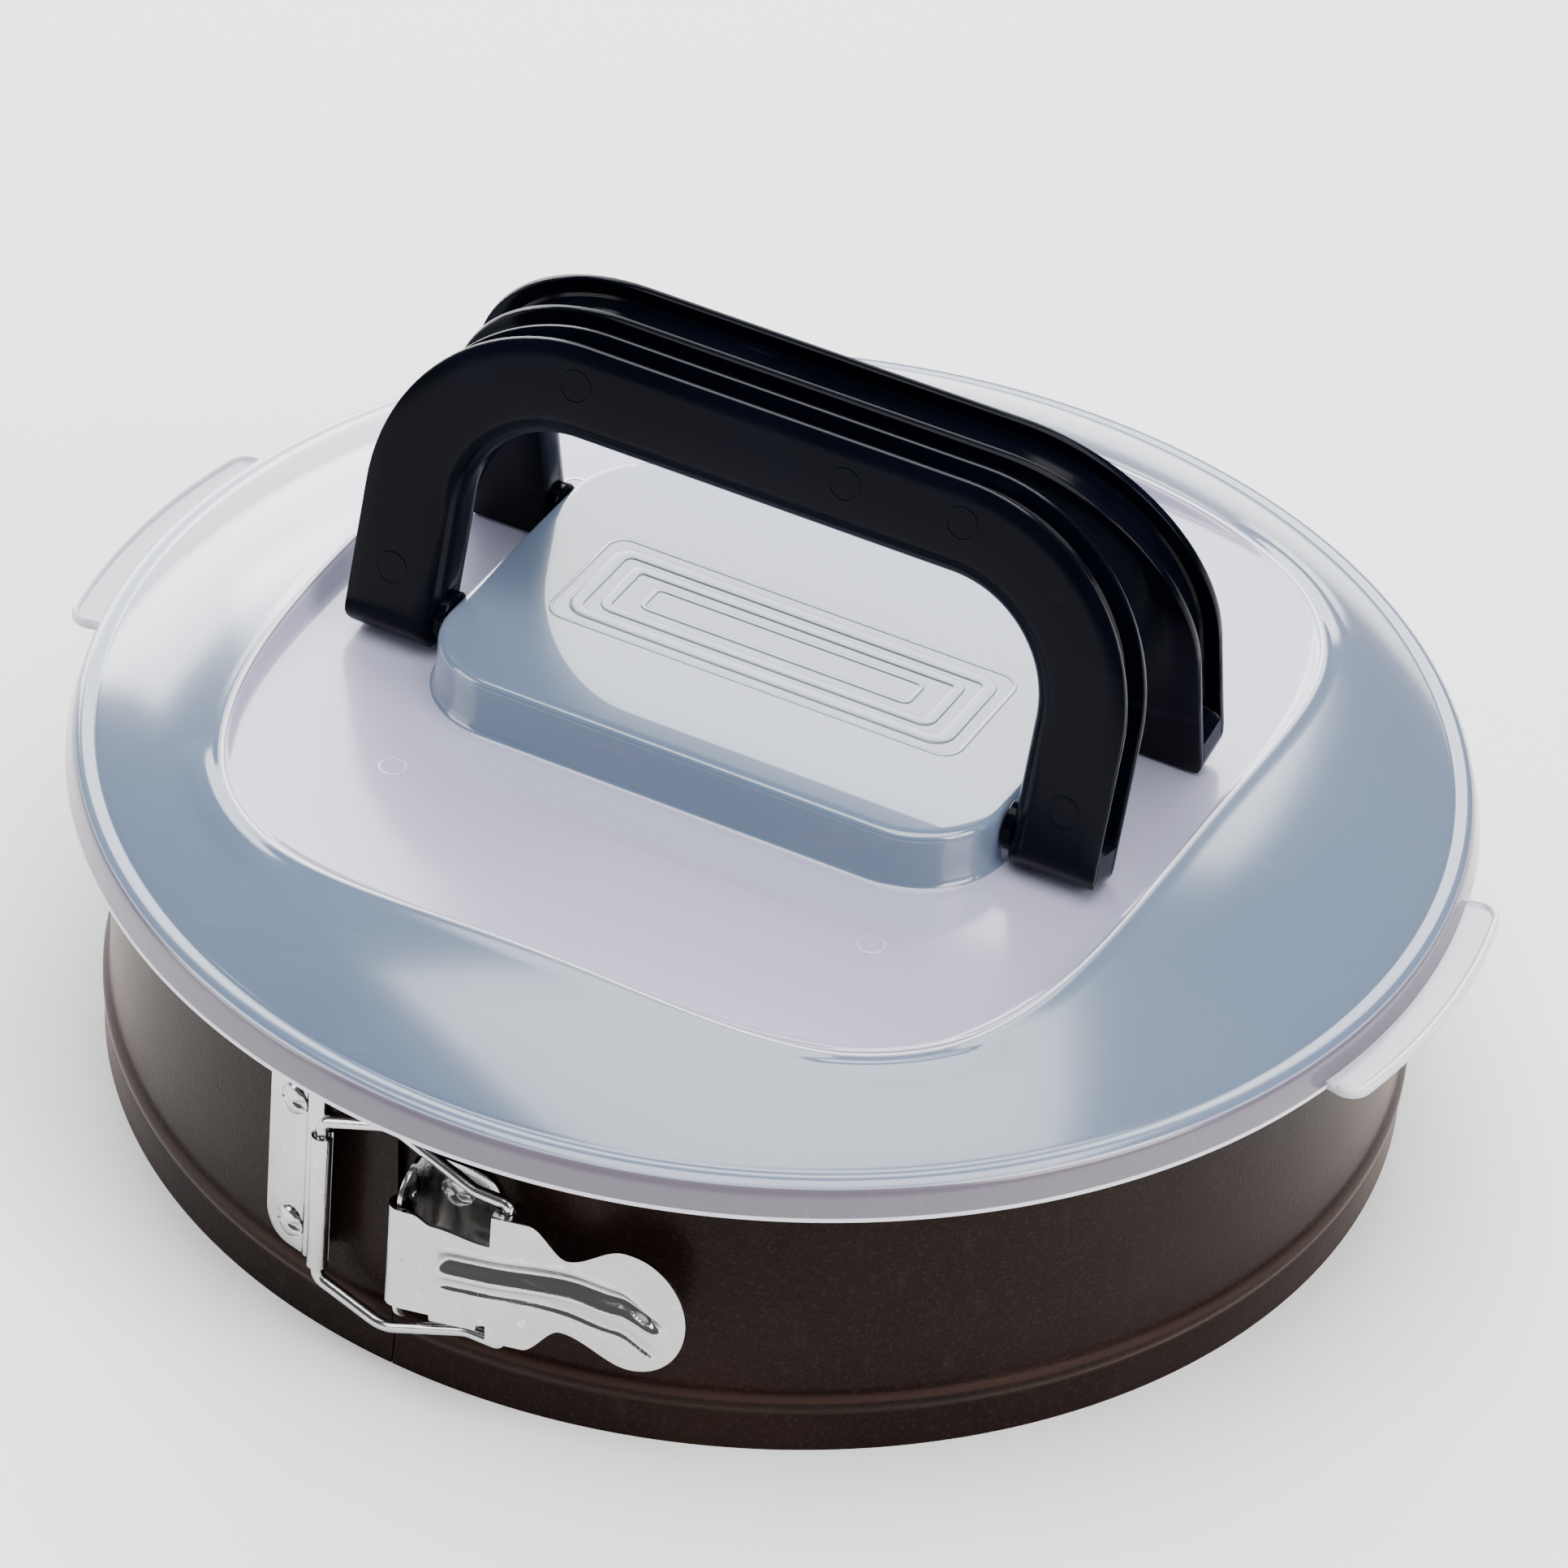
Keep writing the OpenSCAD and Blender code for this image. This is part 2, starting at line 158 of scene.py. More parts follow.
# Round wire along a path, with softly closed ends.
def sweepRound(path, radius, count=20, capLength=0.4):
    path = np.asarray(path, float)
    n = len(path)
    tangents = [unit(path[min(i + 1, n - 1)] - path[max(i - 1, 0)]) for i in range(n)]
    side = unit(np.cross(tangents[0], [0.3, 0.5, 0.81]))
    verts = []
    for i in range(n):
        side = unit(side - tangents[i] * (side @ tangents[i]))
        other = np.cross(tangents[i], side)
        around = np.arange(count) * 2 * math.pi / count
        ring = np.outer(np.cos(around), side) + np.outer(np.sin(around), other)
        if i == 0:
            for back, scale in ((0, 0.55), (0.35 * capLength, 0.85)):
                verts.append(path[0] + tangents[0] * back + ring * radius * scale)
        if i == n - 1:
            verts.append(path[i] - tangents[i] * capLength + ring * radius)
            for back, scale in ((0.35 * capLength, 0.85), (0, 0.55)):
                verts.append(path[i] - tangents[i] * back + ring * radius * scale)
            continue
        verts.append(path[i] + (tangents[0] * capLength if i == 0 else 0) + ring * radius)
    rows = len(verts)
    faces = gridFaces(rows, count)
    faces.append(tuple(reversed(range(count))))
    faces.append(tuple(range((rows - 1) * count, rows * count)))
    return np.concatenate(verts), faces


def newGroup(name, inputs, outputs):
    group = bpy.data.node_groups.new(name, "ShaderNodeTree")
    for label, kind, value in inputs:
        socket = group.interface.new_socket(label, in_out="INPUT", socket_type=kind)
        socket.default_value = value
    for label, kind in outputs:
        group.interface.new_socket(label, in_out="OUTPUT", socket_type=kind)
    return group, group.nodes.new("NodeGroupInput"), group.nodes.new("NodeGroupOutput")


def setInput(tree, socket, value):
    if isinstance(value, bpy.types.NodeSocket):
        tree.links.new(value, socket)
    else:
        socket.default_value = value


# Sets or links a node's inputs by name, with _ for each space.
def feed(tree, node, **inputs):
    for key, value in inputs.items():
        setInput(tree, node.inputs[key.replace("_", " ")], value)
    return node


def addNode(tree, kind, settings=None, **inputs):
    node = tree.nodes.new(kind)
    for key, value in (settings or {}).items():
        setattr(node, key, value)
    return feed(tree, node, **inputs)


def mathNode(tree, operation, a, b=0.0, clamp=False):
    node = addNode(tree, "ShaderNodeMath", {"operation": operation, "use_clamp": clamp})
    setInput(tree, node.inputs[0], a)
    setInput(tree, node.inputs[1], b)
    return node.outputs[0]


def mixColor(tree, factor, a, b):
    node = addNode(tree, "ShaderNodeMix", {"data_type": "RGBA"})
    for i, value in ((0, factor), (6, a), (7, b)):
        setInput(tree, node.inputs[i], value)
    return node.outputs[2]


# Clamped peak that is 1 where the value equals the given place and 0 a step away.
def peak(tree, value, place):
    away = mathNode(tree, "ABSOLUTE", mathNode(tree, "SUBTRACT", value, place))
    return mathNode(tree, "SUBTRACT", 1.0, away, True)


# Clamped ramp from 0 above a threshold.
def ramp(tree, value, threshold, gain):
    return mathNode(tree, "MULTIPLY", mathNode(tree, "SUBTRACT", value, threshold), gain, True)


def objectCoord(tree):
    return addNode(tree, "ShaderNodeTexCoord").outputs["Object"]


# Soft blotches and fine specks, as masks from 0 to 1, with a matching small normal.
surfaceGroup, groupIn, groupOut = newGroup(
    "surfaceVariation",
    [("Blotch Scale", "NodeSocketFloat", 30.0), ("Speck Scale", "NodeSocketFloat", 1500.0),
     ("Speck Amount", "NodeSocketFloat", 0.5), ("Relief", "NodeSocketFloat", 0.1)],
    [("Blotch", "NodeSocketFloat"), ("Speck", "NodeSocketFloat"), ("Normal", "NodeSocketVector")],
)
coord = objectCoord(surfaceGroup)
blotch = addNode(surfaceGroup, "ShaderNodeTexNoise", Vector=coord,
                 Scale=groupIn.outputs["Blotch Scale"], Detail=4.0)
speck = addNode(surfaceGroup, "ShaderNodeTexNoise", Vector=coord,
                Scale=groupIn.outputs["Speck Scale"], Detail=2.0).outputs["Fac"]
speckMask = mathNode(surfaceGroup, "MULTIPLY", ramp(surfaceGroup, speck, 0.52, 5.0),
                     groupIn.outputs["Speck Amount"], True)
relief = addNode(surfaceGroup, "ShaderNodeBump", Height=speck,
                 Strength=groupIn.outputs["Relief"], Distance=0.0002)
feed(surfaceGroup, groupOut, Blotch=blotch.outputs["Fac"], Speck=speckMask, Normal=relief.outputs["Normal"])

# Fine scuffs: thin stretched noise lines that brighten and roughen a surface.
scuffGroup, groupIn, groupOut = newGroup(
    "scuffs",
    [("Scale", "NodeSocketFloat", 60.0), ("Amount", "NodeSocketFloat", 0.3)],
    [("Mask", "NodeSocketFloat")],
)
mapping = addNode(scuffGroup, "ShaderNodeMapping", Vector=objectCoord(scuffGroup),
                  Rotation=(0.3, 0.9, 0.5), Scale=(1.0, 14.0, 3.0))
streaks = addNode(scuffGroup, "ShaderNodeTexNoise", Vector=mapping.outputs[0],
                  Scale=groupIn.outputs["Scale"], Detail=3.0)
thin = ramp(scuffGroup, streaks.outputs["Fac"], 0.62, 8.0)
feed(scuffGroup, groupOut, Mask=mathNode(scuffGroup, "MULTIPLY", thin, groupIn.outputs["Amount"]))


def newMaterial(name):
    material = bpy.data.materials.new(name)
    material.use_nodes = True
    tree = material.node_tree
    return material, tree, tree.nodes["Principled BSDF"]


def useGroup(tree, group, **values):
    return feed(tree, addNode(tree, "ShaderNodeGroup", {"node_tree": group}), **values)


# Noise values of 0.3 to 0.7 spread over low to high.
def remap(tree, value, low, high):
    return addNode(tree, "ShaderNodeMapRange", Value=value, From_Min=0.3, From_Max=0.7,
                   To_Min=low, To_Max=high).outputs["Result"]


# The scuff mask added to a roughness.
def scuffedRoughness(tree, rough, scuff, amount):
    return mathNode(tree, "ADD", rough, mathNode(tree, "MULTIPLY", scuff.outputs["Mask"], amount))


coating = {
    "deep": (0.0042, 0.0020, 0.0024, 1),
    "warm": (0.0105, 0.0052, 0.0040, 1),
    "speck": (0.030, 0.020, 0.019, 1),
    "scuff": (0.05, 0.035, 0.03, 1),
    # painted sheen: a tan colour laid on where the coating is seen at a grazing angle, and how tightly it
    # keeps to those angles
    "grazingSheen": (0.19, 0.105, 0.062, 1),
    "grazingSheenPower": 7.0,
    # painted highlight: a lighter colour on the bead's crest, with the height and half-width of its band
    "crestHighlight": (0.034, 0.020, 0.016, 1),
    "crestZ": 0.0128,  # metres, where the bead's crest catches light
    "crestHalf": 0.0010,
    "roughness": (0.27, 0.36),
    "specular": 0.07,
    "tint": (1.0, 0.80, 0.70, 1),
}


def coatingMaterial(name):
    material, tree, shader = newMaterial(name)
    vary = useGroup(tree, surfaceGroup, Blotch_Scale=22.0, Speck_Scale=1300.0, Speck_Amount=0.35, Relief=0.35)
    scuff = useGroup(tree, scuffGroup, Scale=25.0, Amount=0.10)
    base = mixColor(tree, remap(tree, vary.outputs["Blotch"], 0.0, 1.0), coating["deep"], coating["warm"])
    base = mixColor(tree, vary.outputs["Speck"], base, coating["speck"])
    base = mixColor(tree, scuff.outputs["Mask"], base, coating["scuff"])
    # Painted sheen: tan colour mixed in by facing angle, where light would glance off the coating.
    edge = addNode(tree, "ShaderNodeLayerWeight", Blend=0.5)
    grazing = mathNode(tree, "POWER", edge.outputs["Facing"], coating["grazingSheenPower"])
    base = mixColor(tree, grazing, base, coating["grazingSheen"])
    # Painted highlight along the bead's crest, as a band of lighter colour by height.
    height = addNode(tree, "ShaderNodeSeparateXYZ", Vector=objectCoord(tree)).outputs["Z"]
    crestHighlight = mathNode(tree, "SUBTRACT", height, coating["crestZ"])
    crestHighlight = mathNode(tree, "DIVIDE", crestHighlight, coating["crestHalf"])
    crestHighlight = mathNode(tree, "SUBTRACT", 1.0, mathNode(tree, "MULTIPLY", crestHighlight, crestHighlight), True)
    base = mixColor(tree, mathNode(tree, "MULTIPLY", crestHighlight, 0.8), base, coating["crestHighlight"])
    feed(tree, shader, Base_Color=base, Roughness=remap(tree, vary.outputs["Blotch"], *coating["roughness"]),
         Normal=vary.outputs["Normal"], Specular_IOR_Level=coating["specular"], Specular_Tint=coating["tint"])
    return material


plated = {
    "bright": (0.50, 0.492, 0.485, 1),
    "dull": (0.34, 0.335, 0.33, 1),
    "speck": (0.45, 0.45, 0.44, 1),
    "scuff": (0.97, 0.97, 0.97, 1),
    "roughness": (0.09, 0.17),
}


def platedMaterial(name, grainScale, scuffAmount, roughness):
    material, tree, shader = newMaterial(name)
    vary = useGroup(tree, surfaceGroup, Blotch_Scale=90.0, Speck_Scale=grainScale, Speck_Amount=0.15,
                    Relief=0.12)
    scuff = useGroup(tree, scuffGroup, Scale=110.0, Amount=scuffAmount)
    base = mixColor(tree, remap(tree, vary.outputs["Blotch"], 0.0, 0.35), plated["bright"], plated["dull"])
    base = mixColor(tree, vary.outputs["Speck"], base, plated["speck"])
    base = mixColor(tree, scuff.outputs["Mask"], base, plated["scuff"])
    rough = scuffedRoughness(tree, remap(tree, vary.outputs["Blotch"], *roughness), scuff, 0.35)
    dents = addNode(tree, "ShaderNodeTexNoise", Vector=objectCoord(tree), Scale=75.0, Detail=1.0)
    wavy = addNode(tree, "ShaderNodeBump", Height=dents.outputs["Fac"], Strength=0.5, Distance=0.0012,
                   Normal=vary.outputs["Normal"])
    feed(tree, shader, Base_Color=base, Roughness=rough, Normal=wavy.outputs["Normal"], Metallic=1.0)
    return material


lidLook = {
    "cool": (0.115, 0.165, 0.255, 1),
    "cloud": (0.20, 0.25, 0.36, 1),
    "frost": (0.43, 0.425, 0.575, 1),
    "skirt": (0.15, 0.13, 0.17, 1),
    # painted highlight colour, laid on the skirt's bottom edge, the recess ridge's crest and the tabs' rims
    "lip": (0.85, 0.84, 0.92, 1),
    # painted highlight colour for grazing angles
    "edge": (0.80, 0.80, 0.92, 1),
    "scuff": (0.7, 0.72, 0.8, 1),
    "transmission": 0.25,
}


# Clear to frosted plastic. Each mesh stores a tone: polished -1, clear 0, frosted 1, skirt 2, lip 3, the lip
# tone being a painted highlight.
def lidMaterial(name):
    material, tree, shader = newMaterial(name)
    vary = useGroup(tree, surfaceGroup, Blotch_Scale=7.0, Speck_Scale=700.0, Speck_Amount=0.10, Relief=0.03)
    scuff = useGroup(tree, scuffGroup, Scale=40.0, Amount=0.03)
    tone = addNode(tree, "ShaderNodeAttribute", {"attribute_name": "tone"}).outputs["Fac"]
    shell = mathNode(tree, "MAXIMUM", tone, 0.0)
    frosted = peak(tree, shell, 1.0)
    base = mixColor(tree, remap(tree, vary.outputs["Blotch"], 0.0, 0.5), lidLook["cool"], lidLook["cloud"])
    base = mixColor(tree, frosted, base, lidLook["frost"])
    base = mixColor(tree, peak(tree, tone, 2.0), base, lidLook["skirt"])
    # Painted highlight: tones above 2 blend towards the lip colour.
    base = mixColor(tree, mathNode(tree, "SUBTRACT", tone, 2.0, True), base, lidLook["lip"])
    # Painted highlight: the colour lightens towards grazing angles, standing in for reflection.
    edge = addNode(tree, "ShaderNodeLayerWeight", Blend=0.3)
    grazing = mathNode(tree, "POWER", edge.outputs["Facing"], 3.0)
    base = mixColor(tree, mathNode(tree, "MULTIPLY", grazing, 0.6), base, lidLook["edge"])
    base = mixColor(tree, scuff.outputs["Mask"], base, lidLook["scuff"])
    rough = mathNode(tree, "ADD", mathNode(tree, "MULTIPLY", frosted, 0.18), 0.20)
    dulled = mathNode(tree, "MULTIPLY", mathNode(tree, "SUBTRACT", shell, 1.0, True), 0.72)
    unpolished = mathNode(tree, "ADD", tone, 1.0, True)
    coatRough = mathNode(tree, "ADD", mathNode(tree, "MULTIPLY", unpolished, 0.13), 0.02)
    feed(tree, shader, Base_Color=base, Roughness=scuffedRoughness(tree, rough, scuff, 0.3),
         Normal=vary.outputs["Normal"], Transmission_Weight=lidLook["transmission"], IOR=1.49,
         Coat_Weight=mathNode(tree, "SUBTRACT", 1.0, dulled), Coat_Roughness=coatRough, Coat_IOR=1.6)
    return material


plastic = {
    "deep": (0.0006, 0.0008, 0.0026, 1),
    "light": (0.0015, 0.0018, 0.0052, 1),
    "scuff": (0.012, 0.014, 0.022, 1),
    "roughness": (0.13, 0.19),
    "specular": 0.07,
}


def blackPlastic(name):
    material, tree, shader = newMaterial(name)
    vary = useGroup(tree, surfaceGroup, Blotch_Scale=35.0, Speck_Scale=900.0, Speck_Amount=0.2, Relief=0.05)
    scuff = useGroup(tree, scuffGroup, Scale=55.0, Amount=0.22)
    base = mixColor(tree, remap(tree, vary.outputs["Blotch"], 0.0, 1.0), plastic["deep"], plastic["light"])
    base = mixColor(tree, scuff.outputs["Mask"], base, plastic["scuff"])
    rough = scuffedRoughness(tree, remap(tree, vary.outputs["Blotch"], *plastic["roughness"]), scuff, 0.4)
    feed(tree, shader, Base_Color=base, Roughness=rough, Normal=vary.outputs["Normal"],
         Specular_IOR_Level=plastic["specular"])
    return material


bandCoating = coatingMaterial("bandCoating")
baseCoating = coatingMaterial("baseCoating")
latchSheet = platedMaterial("latchSheet", 2600.0, 0.35, plated["roughness"])
wireSteel = platedMaterial("wireSteel", 4200.0, 0.20, (0.08, 0.16))
rivetSteel = platedMaterial("rivetSteel", 3000.0, 0.45, (0.12, 0.26))
lidPlastic = lidMaterial("lidPlastic")
handlePlastic = blackPlastic("handlePlastic")
print("materials made")


band = {
    "radius": 130.0, "height": 69.0, "sheet": 0.5, "curl": 2.2, "beadZ": 11.5, "beadOut": 1.4,
    "flare": 0.8, "seam": -94.2, "gap": 0.15, "pivotY": 134.0,
}


# Closed section of the sheet: outside going up, round the rolled rim, and back down the inside.
def bandSection():
    r, t, h, c = band["radius"], band["sheet"], band["height"], band["curl"]
    z, b = band["beadZ"], band["beadOut"]
    outside = [
        (r + band["flare"], 0.0), (r + band["flare"] * 0.6, 3.0), (r + 0.15, z - 4.2), (r, z - 3.5),
        (r + 0.05, z - 3.1), (r + 0.35, z - 2.5), (r + b - 0.3, z - 1.5), (r + b - 0.05, z - 1.0),
        (r + b, z - 0.3), (r + b, z + 0.4), (r + b - 0.12, z + 1.0), (r + b - 0.5, z + 1.7),
        (r + 0.3, z + 2.7), (r + 0.06, z + 3.2), (r, z + 3.8), (r, 25.0), (r, 45.0), (r, h - 2 * c - 0.6),
    ]
    centre = (r - t + c, h - c)
    curlOut = arcPoints(*centre, c, -112, 180, 26)
    curlIn = arcPoints(*centre, c - t, 180, -112, 22)
    inside = [(x - t, y) for x, y in reversed(outside)]
    join = [(r - t, h - c - 0.5)]
    # The sheet rises on the inside of the curl, rolls over the top and back down on the outside.
    up = [(r, h - c)] + curlIn[1:] + list(reversed(curlOut)) + join
    return outside + up + inside


section = bandSection()
seamFrom = math.radians(band["seam"]) + band["gap"] / band["radius"]
seamTo = math.radians(band["seam"] + 360) - band["gap"] / band["radius"]
around = np.linspace(seamFrom, seamTo, 421)
back = math.radians(90)
near = int(np.argmin(abs(around - back)))
around[near] = back - 0.0006  # a column on each side of the bend opposite the seam
around[near + 1] = back + 0.0006
bandVerts = np.array([(r * math.cos(a), r * math.sin(a), z) for a in around for r, z in section])
cols = len(section)
bandFaces = gridFaces(len(around), cols)
bandFaces.append(tuple(range(cols)))
bandFaces.append(tuple(reversed(range(len(bandVerts) - cols, len(bandVerts)))))
bandShell = makePiece("bandShell", bandVerts, [tuple(reversed(f)) for f in bandFaces], bandCoating)
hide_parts("band_right", "band_left")
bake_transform(bandShell)

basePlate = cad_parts["base_plate"]
basePlate.data.materials.clear()
basePlate.data.materials.append(baseCoating)
print("band made")


latch = {
    "z": 36.0, "plate": 0.85, "seat": 130.1, "pin": (-25.0, -133.5), "wire": 1.25,
    "leverPivot": (-4.6, -138.4), "leverTurn": 12.1, "leverSheet": 0.9, "curl": 2.65,
}
arcRadius = 130.5  # where arc lengths along the band are measured


# Closed sheet over a grid: pointAt(u, v, out) gives each place on its two faces.
def sheetGrid(pointAt, us, vs, thickness):
    rows, columns = len(us), len(vs)
    n = rows * columns
    verts = [pointAt(u, v, out) for out in (0.0, thickness) for u in us for v in vs]
    front = gridFaces(rows, columns, False, False, n)
    rear = [tuple(reversed(f)) for f in gridFaces(rows, columns, False)]
    loop = list(range(columns)) + [i * columns + columns - 1 for i in range(1, rows)]
    loop += [(rows - 1) * columns + j for j in range(columns - 2, -1, -1)]
    loop += [i * columns for i in range(rows - 2, 0, -1)]
    rim = [(a + n, b + n, b, a) for a, b in zip(loop, loop[1:] + loop[:1])]
    return np.array(verts), front + rear + rim


# Rounds a piece's sharp edges and turns the result into a plain mesh.
def addBevel(piece, width, segments=2, angle=35):
    bevel = piece.modifiers.new("bevel", "BEVEL")
    bevel.width = width * 0.001
    bevel.segments = segments
    bevel.limit_method = "ANGLE"
    bevel.angle_limit = math.radians(angle)
    bevel.harden_normals = False
    mesh = bakeModifiers(piece)
    mesh.polygons.foreach_set("use_smooth", [True] * len(mesh.polygons))
    mesh.set_sharp_from_angle(angle=math.radians(50))


# Flat sheet with a round-cornered outline and holes, placed by place(x, y, out).
def polygonPlate(outline, place, thickness, holes=()):
    curve = bpy.data.curves.new("plate", "CURVE")
    curve.dimensions = "2D"
    curve.fill_mode = "BOTH"
    for loop in (outline, *holes):
        spline = curve.splines.new("POLY")
        spline.points.add(len(loop) - 1)
        for point, (x, y) in zip(spline.points, loop):
            point.co = (x, y, 0, 1)
        spline.use_cyclic_u = True
    curve.extrude = thickness / 2
    holder = addObject("plate", curve)
    mesh = bpy.data.meshes.new_from_object(holder)
    verts = [place(v.co.x, v.co.y, v.co.z + thickness / 2) for v in mesh.vertices]
    faces = [tuple(p.vertices) for p in mesh.polygons]
    bpy.data.objects.remove(holder)
    bpy.data.curves.remove(curve)
    bpy.data.meshes.remove(mesh)
    return np.array(verts), faces


def weld(piece, distance=0.01):
    bm = bmesh.new()
    bm.from_mesh(piece.data)
    bmesh.ops.remove_doubles(bm, verts=bm.verts, dist=distance * 0.001)
    bmesh.ops.recalc_face_normals(bm, faces=bm.faces)
    bm.to_mesh(piece.data)
    bm.free()
    return piece


# Place on the band's outside: arc in millimetres from the seam's direction, height, distance out.
def onBand(arc, z, out):
    a = math.radians(band["seam"]) + arc / arcRadius
    r = latch["seat"] + out
    return (r * math.cos(a), r * math.sin(a), z)


# Columns over a rectangle with rounded corners, as (arc, low, high).
# radii: low-left, high-left, low-right, high-right.
def cornerColumns(arc0, arc1, z0, z1, radii):
    left, right = max(radii[:2]), max(radii[2:])
    bend = 1 - np.cos(np.linspace(0, math.pi / 2, 9))
    straight = np.linspace(arc0 + left, arc1 - right, 28)
    arcs = np.concatenate([arc0 + left * bend, straight, arc1 - right * bend])
    columns = []
    for x in sorted(set(np.round(arcs, 5))):
        low = z0 + max(cornerCut(radii[0], x - arc0), cornerCut(radii[2], arc1 - x))
        high = z1 - max(cornerCut(radii[1], x - arc0), cornerCut(radii[3], arc1 - x))
        columns.append((x, low, high))
    return columns


def curvedPlate(arc0, arc1, z0, z1, radii, crease=None):
    columns = cornerColumns(arc0, arc1, z0, z1, radii)

    def pointAt(u, v, out):
        x, low, high = columns[u]
        step = 0.35 * smooth((x - crease) / 0.8) if crease is not None else 0.0
        return onBand(x, low + (high - low) * v, out + step)

    return sheetGrid(pointAt, range(len(columns)), np.linspace(0, 1, 24), latch["plate"])


degree = math.pi / 180 * arcRadius
hinge = {"from": -14.3, "to": -8.0, "low": 15, "high": 57, "corners": (6, 1, 0.3, 0.3), "crease": 4.6,
         "knuckleHalf": 15.8, "knuckleStart": 22, "knuckleTurn": 318}
hingeEnd = hinge["to"] * degree
hingeParts = [curvedPlate(hinge["from"] * degree, hingeEnd, hinge["low"], hinge["high"], hinge["corners"],
                          hingeEnd - hinge["crease"])]
# Web from the plate out to the knuckle, and the knuckle rolled round the wire.
pin = np.array(latch["pin"])
tubeR = latch["wire"] + latch["plate"] + 0.05
webStart = np.array(onBand(hingeEnd - 0.6, 0, latch["plate"] / 2)[:2])


# Sheet standing along a plan polyline between two heights.
def ribbon(centre, low, high, thickness):
    centre = np.asarray(centre, float)
    n = len(centre)
    rings = []
    for i in range(n):
        tangent = unit(centre[min(i + 1, n - 1)] - centre[max(i - 1, 0)])
        side = np.array([-tangent[1], tangent[0]]) * thickness / 2
        a, b = centre[i] + side, centre[i] - side
        rings += [(*a, low), (*a, high), (*b, high), (*b, low)]
    faces = gridFaces(n, 4)
    faces += [(3, 2, 1, 0), tuple(range((n - 1) * 4, n * 4))]
    return np.array(rings), [tuple(reversed(f)) for f in faces]


rollMid = tubeR - latch["plate"] / 2
side = unit([-(webStart - pin)[1], (webStart - pin)[0]])
startAngle = math.atan2(-side[1], -side[0]) + math.radians(hinge["knuckleStart"])
roll = [pin + rollMid * np.array([math.cos(startAngle + t), math.sin(startAngle + t)])
        for t in np.linspace(0, math.radians(hinge["knuckleTurn"]), 30)]
foot = np.array(onBand(hingeEnd - 1.4, 0, latch["plate"] / 2)[:2])
knee = np.array(onBand(hingeEnd + 0.2, 0, latch["plate"] / 2)[:2])
profile = np.concatenate([roundPath([foot, knee, roll[0]], [1.0]), np.array(roll[1:])])
hingeParts.append(ribbon(profile, latch["z"] - hinge["knuckleHalf"], latch["z"] + hinge["knuckleHalf"],
                         latch["plate"]))
hingeVerts, hingeFaces = mergeParts(hingeParts)
hingePlate = makePiece("hingePlate", hingeVerts, hingeFaces, latchSheet)
addBevel(weld(hingePlate), 0.18)
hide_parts("hinge_plate")
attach(hingePlate, "left_band")

# Bracket: curved plate plus a D-shaped flange standing out from its left edge, with a window for the curl.
bracketSize = {"from": 2.15, "to": 9.5, "half": 19, "corners": (0.4, 0.4, 6, 6)}
flange = {"root": 130.25, "rise": 131.5, "reach": 8.4, "half": 18.7, "straight": 12.2, "bend": 6.5,
          "windowIn": 134.0, "windowOut": 136.9, "windowHalf": 11.9}
bracketParts = [curvedPlate(bracketSize["from"] * degree, bracketSize["to"] * degree,
                            latch["z"] - bracketSize["half"], latch["z"] + bracketSize["half"],
                            bracketSize["corners"])]
flangeX = latch["leverPivot"][0]
flangeBend = [(flange["rise"] + flange["reach"] * math.sin(a),
               flange["straight"] + flange["bend"] * math.cos(a)) for a in np.radians(np.linspace(90, 6, 14))]
outer = [(flange["root"], -flange["half"]), (flange["rise"], -flange["half"])]
outer += [(y, -z) for y, z in reversed(flangeBend)]
outer += flangeBend
outer += [(flange["rise"], flange["half"]), (flange["root"], flange["half"])]
window = [(flange["windowIn"], -flange["windowHalf"]), (flange["windowOut"], -flange["windowHalf"]),
          (flange["windowOut"], flange["windowHalf"]), (flange["windowIn"], flange["windowHalf"])]
window = [tuple(p) for p in roundPath(window + window[:2], [1.0, 1.0, 1.0, 1.0])[1:-1]]


def onFlange(y, z, out):
    return (flangeX - latch["plate"] / 2 + out, -y, latch["z"] + z)


bracketParts.append(polygonPlate(outer, onFlange, latch["plate"], [window]))
bracketVerts, bracketFaces = mergeParts(bracketParts)
bracket = makePiece("leverBracket", bracketVerts, bracketFaces, latchSheet)
addBevel(weld(bracket), 0.18)
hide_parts("lever_bracket")
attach(bracket, "right_band")
print("plates made")


rivet = {"head": 3.3, "inner": 2.9, "hingeAt": -11.4, "hingeUp": 15.0, "bracketAt": 5.55, "bracketUp": 12.6}


# One rivet pointing along +X from the band's inside to its star-shaped outer head.
def rivetMesh():
    count = 48
    profile = [
        (0.0, -0.55), (rivet["inner"] - 0.3, -0.55), (rivet["inner"], -0.25), (rivet["inner"], 0.0),
        (1.5, 0.0), (1.5, 1.65), (rivet["head"] - 0.05, 1.65), (rivet["head"], 1.85),
        (rivet["head"] - 0.25, 2.15), (rivet["head"] - 0.9, 2.45), (rivet["head"] - 1.6, 2.65),
        (0.6, 2.72), (0.0, 2.70),
    ]
    verts, faces = lathe(profile, count, closed=False)
    out = []
    for x, y, z in verts:
        r, a = math.hypot(x, y), math.atan2(y, x)
        if z > 2.1:
            # Four peened dents leave a raised cross on the head.
            dent = max(0.0, math.cos(2 * a)) ** 2 * min(1.0, r / 1.2)
            z -= 0.85 * dent
        if z > 1.7 and r > 2.0:
            r *= 1 + 0.05 * math.cos(4 * a + 0.4)
        out.append((z, r * math.cos(a), r * math.sin(a)))
    return np.array(out), faces


